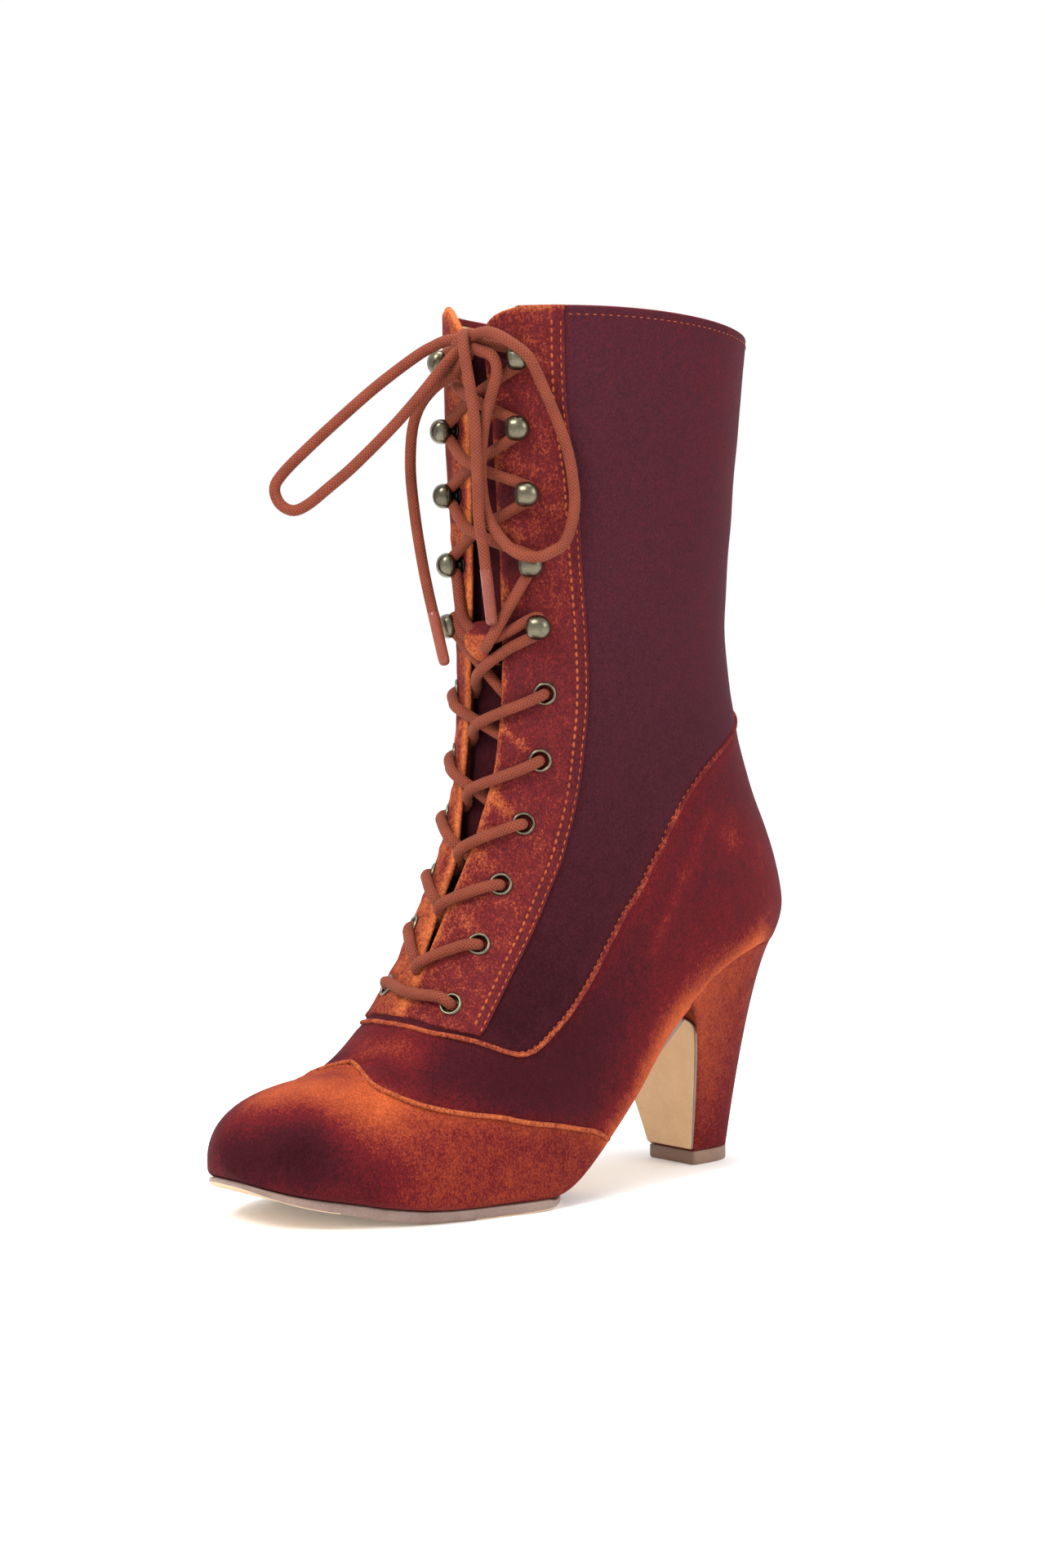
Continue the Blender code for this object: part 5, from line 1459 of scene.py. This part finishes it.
def makeFittings():
    profiles = []
    for label, count in zip(("eyelet", "head", "stem"), fittingSettings["profilePoints"]):
        profiles.append(smoothCurve(fittingSettings[f"{label}Profile"], count))
    eyelet, head, stem = profiles
    eyelet = np.concatenate((eyelet, eyelet[:1]))  # closed into a ring
    stem = np.concatenate((stem[:1] * (0.0, 1.0), stem, stem[-1:] * (0.0, 1.0)))  # closed at both ends
    for kind in ("eyelet", "hook"):
        work = bmesh.new()
        names = []
        for number, (station, outer, inner) in enumerate(fittingSettings[f"{kind}s"], 1):
            for label, distance in (("lateral", outer), ("medial", -inner)):
                names.append(f"{kind}_{label}_{number}")
                if kind == "eyelet":
                    addTurned(work, eyelet, fittingFrame(station, distance))
                    continue
                addTurned(work, head, fittingFrame(station, distance), fittingSettings["headFlat"])
                bright = set(work.faces)
                shift = math.copysign(fittingSettings["stemShift"], distance)
                addTurned(work, stem, fittingFrame(station, distance - shift))
                # the stem takes the near-black finish, partly painted shade
                for face in set(work.faces) - bright:
                    face.material_index = 1
        turnOutward(work)
        piece = finishPiece(work, f"{kind}s", brass, names)
        if kind == "hook":
            piece.data.materials.append(stemBrassInShade)


makeFittings()
print("fittings made")


# Stretches of lace between the eyelets and round the hooks

stretchSettings = {
    # station and distance where the arms of each row meet, from the second row to the lowest hooks
    "meeting": ((2.86, 3.2), (4.5, 3.4), (6.6, 3.0), (9.3, 2.2), (11.3, 1.2), (12.35, 1.2)),
    "barLift": 3.6,
    "barSag": 0.25,
    # ends of the bar in its eyelets: shift along the boot, shift outward, and lift
    "barEnd": ((0.0, 0.4, -2.5), (0.0, -0.1, 0.5), (-0.02, -1.9, 3.0), (-0.06, -5.0, 3.5)),
    "lift": 3.25,
    # an arm starts under the far edge of the throat: distance past it, and lift
    "armStart": ((5.0, -3.4), (1.0, -2.7)),
    # lift of the upper and of the lower arm where they meet
    "armMeets": (2.7, -0.6),
    # distance past the near edge and rise there, then the share of the way where it ends
    "armOut": (3.0, 0.2),
    "armEnd": 0.72,
    # distance before an eyelet, and lift
    "rowEnd": ((3.4, 3.25), (1.5, 2.5), (0.3, 0.8), (0.0, -2.4)),
    # round a hook: lift, reach up and down, reach behind it, and how the corners are cut
    "hookLift": 3.3,
    "neck": 3.1,
    "behind": 1.5,
    "corner": (0.7, 0.9),
    # between the lowest hooks both laces pass through the tongue's loop: first the one from the outer hook
    "throughLoop": (((12.86, 9.8, 3.4), (12.86, 1.5, 1.2), (13.1, -6.0, 3.2)),
                    ((12.90, -6.2, 3.2), (12.71, 1.5, 1.2), (12.84, 9.8, 7.0))),
    # station and distance where they cross between the other hooks, and rise from the outer and inner hook
    "crossing": ((14.08, 2.6), (14.74, 3.4), (15.32, 3.4)),
    "crossRise": (1.9, -1.7),
    # station, distance from the knot and lift of the last points
    "top": ((15.72, 5.0, 4.2), (15.73, 1.0, 4.8)),
}


def addStretch(work, route):
    path = evenPath(onSkin(route), laceSettings["spacing"])
    addTube(work, path, laceSettings["radius"], laceSettings["sides"])


def finishStretches(work, name, nodes):
    turnOutward(work)
    finishPiece(work, name, laceCord, nodes)


def armRoute(station, distance, meeting, over):
    # From under the far edge of the throat, up over the near one and on toward a fitting
    start, end = np.array(meeting), np.array((station, distance))
    reach = abs(end[1] - start[1])
    gap = (throatEdge(meeting[0], 1) - throatEdge(meeting[0], -1)) / 2
    lift = stretchSettings["lift"]
    past, rise = stretchSettings["armOut"]
    places = [(-gap - before, high) for before, high in stretchSettings["armStart"]]
    places.append((0.0, stretchSettings["armMeets"][0 if over else 1]))
    places += [(gap + past, lift + rise), (reach * stretchSettings["armEnd"], lift)]
    return [(*(start + (end - start) * along / reach), high) for along, high in places]


def hookTurn(station, distance):
    # Under the stem of a hook, round behind it and away above it
    side = math.copysign(1.0, distance)
    up = stretchSettings["neck"] / stationLength(station)
    high = stretchSettings["hookLift"]
    stem = distance - side * fittingSettings["stemShift"]
    behind = distance + side * stretchSettings["behind"]
    rise, cutIn = stretchSettings["corner"]
    corner = behind - side * cutIn
    return [(station - up, stem, high), (station - up * rise, corner, high), (station, behind, high),
            (station + up * rise, corner, high), (station + up, stem, high)]


def makeLaceBar():
    station, outer, inner = fittingSettings["eyelets"][0]
    ends = []
    for distance in (outer, -inner):
        side = math.copysign(1.0, distance)
        end = []
        for up, out, high in stretchSettings["barEnd"]:
            end.append((station + up, distance + side * out, high))
        ends.append(end)
    middle = (station - stretchSettings["barSag"], (outer - inner) / 2, stretchSettings["barLift"])
    work = bmesh.new()
    addStretch(work, ends[0] + [middle] + ends[1][::-1])
    finishStretches(work, "laceBar", ("lace_bar_1",))


def makeLaceRows():
    work = bmesh.new()
    for (station, outer, inner), meeting in zip(fittingSettings["eyelets"][1:], stretchSettings["meeting"]):
        for distance in (-inner, outer):
            route = armRoute(station, distance, meeting, distance > 0)
            start, end = np.array(meeting), np.array((station, distance))
            step = (end - start) / abs(distance - meeting[1])
            route += [(*(end - step * back), high) for back, high in stretchSettings["rowEnd"]]
            addStretch(work, route)
    finishStretches(work, "laceRows", [f"lace_row_{n}" for n in range(2, 7)])


def makeLaceCrosses():
    work = bmesh.new()
    for start in (1, -1):
        places = []
        for index, (station, outer, inner) in enumerate(fittingSettings["hooks"]):
            onOuter = start * (-1) ** index > 0
            places.append((station, outer if onOuter else -inner))
        route = armRoute(*places[0], stretchSettings["meeting"][-1], start > 0)[:-1]
        for index, (station, distance) in enumerate(places):
            fromInner = int(distance < 0)
            route += hookTurn(station, distance)
            if index == 0:
                route += stretchSettings["throughLoop"][fromInner]
            elif index + 1 < len(places):
                high = stretchSettings["hookLift"] + stretchSettings["crossRise"][fromInner]
                route.append((*stretchSettings["crossing"][index - 1], high))
        side = math.copysign(1.0, places[-1][1])
        for station, away, high in stretchSettings["top"]:
            route.append((station, laceSettings["knot"][1] + side * away, high))
        addStretch(work, route)
    names = ["lace_row_7"] + [f"lace_cross_{n}" for n in range(7, 11)]
    finishStretches(work, "laceCrosses", names + ["lace_top_lateral", "lace_top_medial"])


def makeKnot():
    station, distance = laceSettings["knot"][:2]
    out = skinNormal(station, aroundAt(station, distance))
    across = np.cross((0.0, 0.0, 1.0), out)
    across /= np.linalg.norm(across)
    up = np.cross(out, across)
    # A trefoil: three turns of the lace over and under one another
    t = np.linspace(0.0, 2 * math.pi, laceSettings["knotPoints"])
    shape = (np.sin(t) + 2 * np.sin(2 * t), np.cos(t) - 2 * np.cos(2 * t), -np.sin(3 * t))
    shape = np.stack(shape, axis=-1)
    shape = shape / np.abs(shape).max(axis=0) * laceSettings["knotHalfSize"]
    path = knotPlace + shape[:, :1] * across + shape[:, 1:2] * up + shape[:, 2:] * out
    work = bmesh.new()
    addTube(work, path, laceSettings["radius"], laceSettings["sides"])
    finishStretches(work, "knot", ("knot",))


makeLaceBar()
makeLaceRows()
makeLaceCrosses()
makeKnot()
print("lacing made")


# Tongue and its ribbed loop

tongueSettings = {
    "rows": 130,
    "rowsAt": (0.0, 0.1),
    "columns": 30,
    "low": 2.9,
    "high": 15.8,
    # station and half width
    "halfWidth": ((3.0, 13.0), (10.0, 21.0)),
    "lift": -4.4,
    "thickness": 1.6,
    "napAndPaintedLight": -0.15,
}
loopSettings = {
    "stations": (12.45, 13.06),
    "rows": 60,
    "columns": 14,
    # share of the way up, and the inner and outer edge
    "edges": ((0.0, 1.0, 6.2), (0.45, -2.6, 7.2), (1.0, -4.8, 7.8)),
    # lift at both ends, height over it, roundness, and drop toward the edges
    "crown": (-3.8, 9.6, 0.4, 0.5),
    # share of the way up where the ribs start and over which they rise, their height and number
    "ribsFrom": (0.68, 0.1),
    "ribs": (0.2, 22),
    # brush at the inner edge, how much less at the outer edge and on the ribs
    "napAndPaintedLight": (0.85, 0.35, 0.4),
    # in metres
    "thickness": 0.0011,
}


def makeTongue():
    lift, thickness = tongueSettings["lift"], tongueSettings["thickness"]
    stations = evenRows(tongueSettings["low"], tongueSettings["high"], tongueSettings["rows"],
                        tongueSettings["rowsAt"])
    width = np.interp(stations, *np.array(tongueSettings["halfWidth"]).T)
    share = np.linspace(-1.0, 1.0, tongueSettings["columns"] + 1)
    distance = width[:, None] * np.concatenate((share, share[-2::-1]))[None]
    lifts = np.concatenate((np.full(len(share), lift), np.full(len(share) - 1, lift - thickness)))
    lifts[[0, -1, len(share) - 1]] = lift - thickness / 2
    rows = np.broadcast_to(stations[:, None], distance.shape)
    points = joinRings(skin(rows, aroundAt(rows, distance), np.broadcast_to(lifts[None], distance.shape)))
    napAndPaintedLight = np.full(points.shape[:2], tongueSettings["napAndPaintedLight"])
    makeSolid(points, "tongue", wineVelvet, "tongue", {"napAndPaintedLight": napAndPaintedLight})


def makeTongueLoop():
    climb = np.linspace(0.0, 1.0, loopSettings["rows"])[:, None]
    share = np.linspace(0.0, 1.0, loopSettings["columns"] + 1)[None]
    at, inner, outer = np.array(loopSettings["edges"]).T
    innerEdge, outerEdge = np.interp(climb, at, inner), np.interp(climb, at, outer)
    distance = innerEdge + (outerEdge - innerEdge) * share
    low, high = loopSettings["stations"]
    rows = np.broadcast_to(low + (high - low) * climb, distance.shape)
    start, length = loopSettings["ribsFrom"]
    top = np.clip((climb - start) / length, 0.0, 1.0)
    ribHeight, ribCount = loopSettings["ribs"]
    rib = ribHeight * top * np.sin(climb * ribCount * 2 * math.pi)
    base, height, roundness, drop = loopSettings["crown"]
    crown = base + height * np.sin(climb * math.pi) ** roundness - drop * (2 * share - 1) ** 4
    brush, lessOuter, lessRibs = loopSettings["napAndPaintedLight"]
    napAndPaintedLight = brush - lessOuter * share - lessRibs * top
    work = bmesh.new()
    addGrid(work, skin(rows, aroundAt(rows, distance), crown + rib), values={"napAndPaintedLight": napAndPaintedLight})
    turnOutward(work, lambda centre: Vector((0.0, -1.0, 0.0)))
    piece = finishPiece(work, "tongueLoop", rustVelvet, ("tongue_loop",))
    addThickness(piece, loopSettings["thickness"])


makeTongue()
makeTongueLoop()
print("tongue made")


# Outsole, heel, breast and top piece

soleSettings = {
    # station, height of the tread and thickness of the edge
    "tread": (
        (-1.0, 18.3, 1.6), (-0.8, 15.2, 1.7), (-0.7, 13.6, 1.9), (-0.56, 11.6, 2.4), (-0.4, 9.3, 3.0),
        (-0.3, 8.0, 3.4), (-0.18, 6.7, 3.7), (0.0, 5.1, 3.9), (0.5, 2.2, 4.3), (1.0, 0.6, 4.2),
        (1.4, 0.0, 4.1), (2.2, 0.0, 4.05), (2.6, 0.35, 3.65), (3.0, 1.3, 2.7)),
    # stations where the tread starts to follow the skin and where the sole ends under the heel
    "flatEnd": 3.0,
    "end": 5.33,
    # thickness between those two, and stations over which the forefoot turns into the waist
    "waistThickness": (1.65, 1.3),
    "waist": (2.7, 3.7),
    # overhang of the edge on the forefoot and the waist, and how far the waist tucks under
    "overhang": (1.1, 0.0),
    "tuck": 0.3,
    "rows": 150,
    "toeRows": 40,
    "gap": 0.25,
    # share of the overhang and of the thickness, down the edge
    "profile": (
        (0.0, 0.0), (0.75, 0.02), (0.95, 0.12), (1.0, 0.35), (1.0, 0.7), (0.93, 0.88), (0.7, 0.98),
        (0.3, 1.0)),
    "across": 14,
    # first value and count of the fine steps in which the tip and the edge are sought
    "tipSearch": (-0.95, 400),
    "edgeSearch": (0.6, 500),
    # the edge stands out along the skin at this share at most
    "outwardMost": 0.97,
    # faces that look down more than this are tread
    "treadSlope": -0.55,
}
heelSettings = {
    # first and last station of the seat under the upper
    "seat": (5.45, 8.35),
    "seatLift": -0.25,
    "rows": 34,
    "columns": 25,
    "levels": 70,
    # start and power of the curve down the sides, and down the front and back
    "flare": (0.12, 0.62),
    "frontFlare": (0.03, 0.4),
    # height, front, back, half width and roundness
    "topPiece": (5.0, 78.0, 101.0, 11.6, 2.6),
    # how far the cover runs into the top piece
    "coverDrop": 0.3,
    # brush at the top, how much less at the foot and toward the back, and where that starts and its length: a
    # painted highlight at the top and painted shade at the foot and the back
    "napAndPaintedLight": (0.66, 0.16, 0.25),
    "rearward": (55.0, 60.0),
    # inset and height, over the top piece
    "topPieceRings": ((4.0, 5.0), (0.15, 5.0), (0.0, 4.8), (0.0, 0.9), (0.12, 0.35), (0.5, 0.0), (4.0, 0.0)),
    # the breast: levels of its top, of its rounded corners' end and of its foot, and rows to each
    "breastLevels": (0.05, 0.28, 0.985),
    "breastRows": (16, 40),
    "breastCurve": 1.6,
    "breastColumns": 41,
    # share of the heel's width at the top and below, then lift over the heel
    "breastShare": (0.25, 0.985),
    "breastLift": 1.05,
    "breastStep": 0.01,
    # in metres
    "breastThickness": 0.001,
}
treadStations, treadHeights, edgeHeights = np.array(soleSettings["tread"]).T


def edgeShare(station, side):
    # Share of the way around where the lower skin has come down to the top of the sole's edge
    start, count = soleSettings["edgeSearch"]
    shares = np.linspace(start, 1.0, count)
    height = np.interp(station, treadStations, treadHeights + edgeHeights)
    return np.interp(-height, -skin(station, side * shares)[:, 2], shares)


def makeOutsole():
    start, count = soleSettings["tipSearch"]
    fine = np.linspace(start, 0.0, count)
    clear = skin(fine, 1.0)[:, 2] - np.interp(fine, treadStations, treadHeights + edgeHeights)
    tip = float(fine[clear > 0].max())
    turn = np.linspace(0.0, math.pi / 2, soleSettings["toeRows"])
    stations = np.concatenate((
        tip * np.cos(turn), np.linspace(0.0, soleSettings["end"], soleSettings["rows"])[1:]))
    rings = []
    for station in stations:
        waist = np.interp(station, soleSettings["waist"], (0.0, 1.0))
        overhang = np.interp(waist, (0.0, 1.0), soleSettings["overhang"])
        sides = []
        for side in (1, -1):
            feather = float(featherAt(station, side))
            tucked = feather + (1 - feather) * soleSettings["tuck"]
            share = (1 - waist) * edgeShare(station, side) + waist * tucked
            top = skin(station, side * share, soleSettings["gap"])
            outward = skinNormal(station, side * min(share, soleSettings["outwardMost"])) * (1.0, 1.0, 0.0)
            sides.append((top, outward / np.linalg.norm(outward)))
        middle = skin(station, 1.0, soleSettings["gap"])
        down = skinNormal(station, 1.0)
        span = (soleSettings["flatEnd"], soleSettings["end"])
        thickness = np.interp(station, span, soleSettings["waistThickness"])

        def low(point):
            if station <= soleSettings["flatEnd"]:
                return np.array((point[0], point[1], np.interp(station, treadStations, treadHeights)))
            return point + down * (thickness + (middle - point).dot(down))

        (outerTop, outerOut), (innerTop, innerOut) = sides
        ring = []
        for out, drop in soleSettings["profile"]:
            point = outerTop + outerOut * (overhang * out)
            ring.append(point * (1 - drop) + low(point) * drop)
        for share in np.linspace(0.0, 1.0, soleSettings["across"])[1:-1]:
            ring.append(low(outerTop * (1 - share) + innerTop * share))
        for out, drop in soleSettings["profile"][::-1]:
            point = innerTop + innerOut * (overhang * out)
            ring.append(point * (1 - drop) + low(point) * drop)
        for share in np.linspace(0.0, 1.0, soleSettings["across"])[1:]:
            ring.append(innerTop * (1 - share) + outerTop * share)
        rings.append(ring)
    piece = makeSolid(np.array(rings), "outsole", soleEdge, "outsole")
    piece.data.materials.append(soleTread)
    for face in piece.data.polygons:
        face.material_index = int(face.normal.z < soleSettings["treadSlope"])


def heelSeat():
    stations = np.linspace(*heelSettings["seat"], heelSettings["rows"])
    rows = []
    for station in stations:
        outer, inner = float(featherAt(station, 1)), float(featherAt(station, -1))
        half = heelSettings["columns"] // 2
        shares = np.concatenate((np.linspace(outer, 1.0, half + 1), -np.linspace(1.0, inner, half + 1)[1:]))
        rows.append(skin(station, shares, heelSettings["seatLift"]))
    return np.array(rows)


def heelOutline(rows, columns):
    height, front, back, halfWidth, roundness = heelSettings["topPiece"]
    order = [(0, c) for c in range(columns)]
    order += [(r, columns - 1) for r in range(1, rows)]
    order += [(rows - 1, c) for c in range(columns - 2, -1, -1)]
    order += [(r, 0) for r in range(rows - 2, 0, -1)]
    foot = []
    for row, column in order:
        side = 1 - 2 * column / (columns - 1)
        turn = (row + (1 - abs(side) if row == rows - 1 else 0)) / rows * math.pi / 2
        width = math.cos(turn) ** (2 / roundness) if row else abs(side)
        depth = math.sin(turn) ** (2 / roundness)
        foot.append((math.copysign(halfWidth * width, side), front + (back - front) * depth,
                     height + heelSettings["coverDrop"]))
    return order, np.array(foot) - lastSettings["origin"]


def heelLevel(top, foot, level):
    share = []
    for start, power in (heelSettings["flare"], heelSettings["frontFlare"]):
        share.append(((level + start) ** power - start ** power) / ((1 + start) ** power - start ** power))
    share = np.array((*share, level))
    return top * (1 - share) + foot * share


def makeHeel(seat, order, foot):
    top = np.array([seat[place] for place in order])
    levels = np.linspace(0.0, 1.0, heelSettings["levels"])
    points = joinRings(np.array([heelLevel(top, foot, level) for level in levels]))
    start, length = heelSettings["rearward"]
    rearward = np.clip((points[..., 1] - start) / length, 0.0, 1.0)
    brush, lessLow, lessRear = heelSettings["napAndPaintedLight"]
    # painted highlight at the top, painted shade toward the foot and the back
    napAndPaintedLight = brush - lessLow * levels[:, None] - lessRear * rearward
    makeSolid(points, "heel", wineVelvet, "heel", {"napAndPaintedLight": napAndPaintedLight})


def makeTopPiece(foot):
    halfWidth = heelSettings["topPiece"][3]
    middle = foot.mean(axis=0)
    rings = []
    for inset, height in heelSettings["topPieceRings"]:
        ring = middle + (foot - middle) * (1 - inset / halfWidth)
        ring[:, 2] = height
        rings.append(ring)
    makeSolid(joinRings(np.array(rings)), "topPiece", rubber, "heel_top_piece")


def makeBreast(front, bottom):
    # A leather flap on the front of the heel, narrow and rounded at the top
    shares = np.linspace(-1.0, 1.0, len(front))
    fine = np.linspace(-1.0, 1.0, heelSettings["breastColumns"])
    first, roundEnd, foot = heelSettings["breastLevels"]
    roundRows, straightRows = heelSettings["breastRows"]
    narrowTop, narrow = heelSettings["breastShare"]
    step = heelSettings["breastStep"]
    rounded = np.linspace(0.0, 1.0, roundRows) ** heelSettings["breastCurve"] * (roundEnd - first) + first
    rows = []
    for level in np.concatenate((rounded, np.linspace(roundEnd, foot, straightRows)[1:])):
        corner = min((level - first) / (roundEnd - first), 1.0)
        reach = narrowTop + (narrow - narrowTop) * math.sqrt(1 - (1 - corner) ** 2)
        row = pickAlong(heelLevel(front, bottom, level), shares, fine * reach)
        slope = heelLevel(front, bottom, level + step) - heelLevel(front, bottom, max(level - step, 0.0))
        down = slope[len(front) // 2]
        forward = np.array((0.0, down[2], -down[1]))
        rows.append(row + forward / np.linalg.norm(forward) * heelSettings["breastLift"])
    work = bmesh.new()
    addGrid(work, np.array(rows))
    turnOutward(work, lambda centre: Vector((0.0, -1.0, 0.0)))
    piece = finishPiece(work, "heelBreast", breastLeather, ("heel_breast",))
    piece.data.materials.append(cutEdge)
    addThickness(piece, heelSettings["breastThickness"]).material_offset_rim = 1


makeOutsole()
seat = heelSeat()
order, foot = heelOutline(*seat.shape[:2])
makeHeel(seat, order, foot)
makeTopPiece(foot)
makeBreast(seat[0], foot[:seat.shape[1]])
print("sole and heel made")
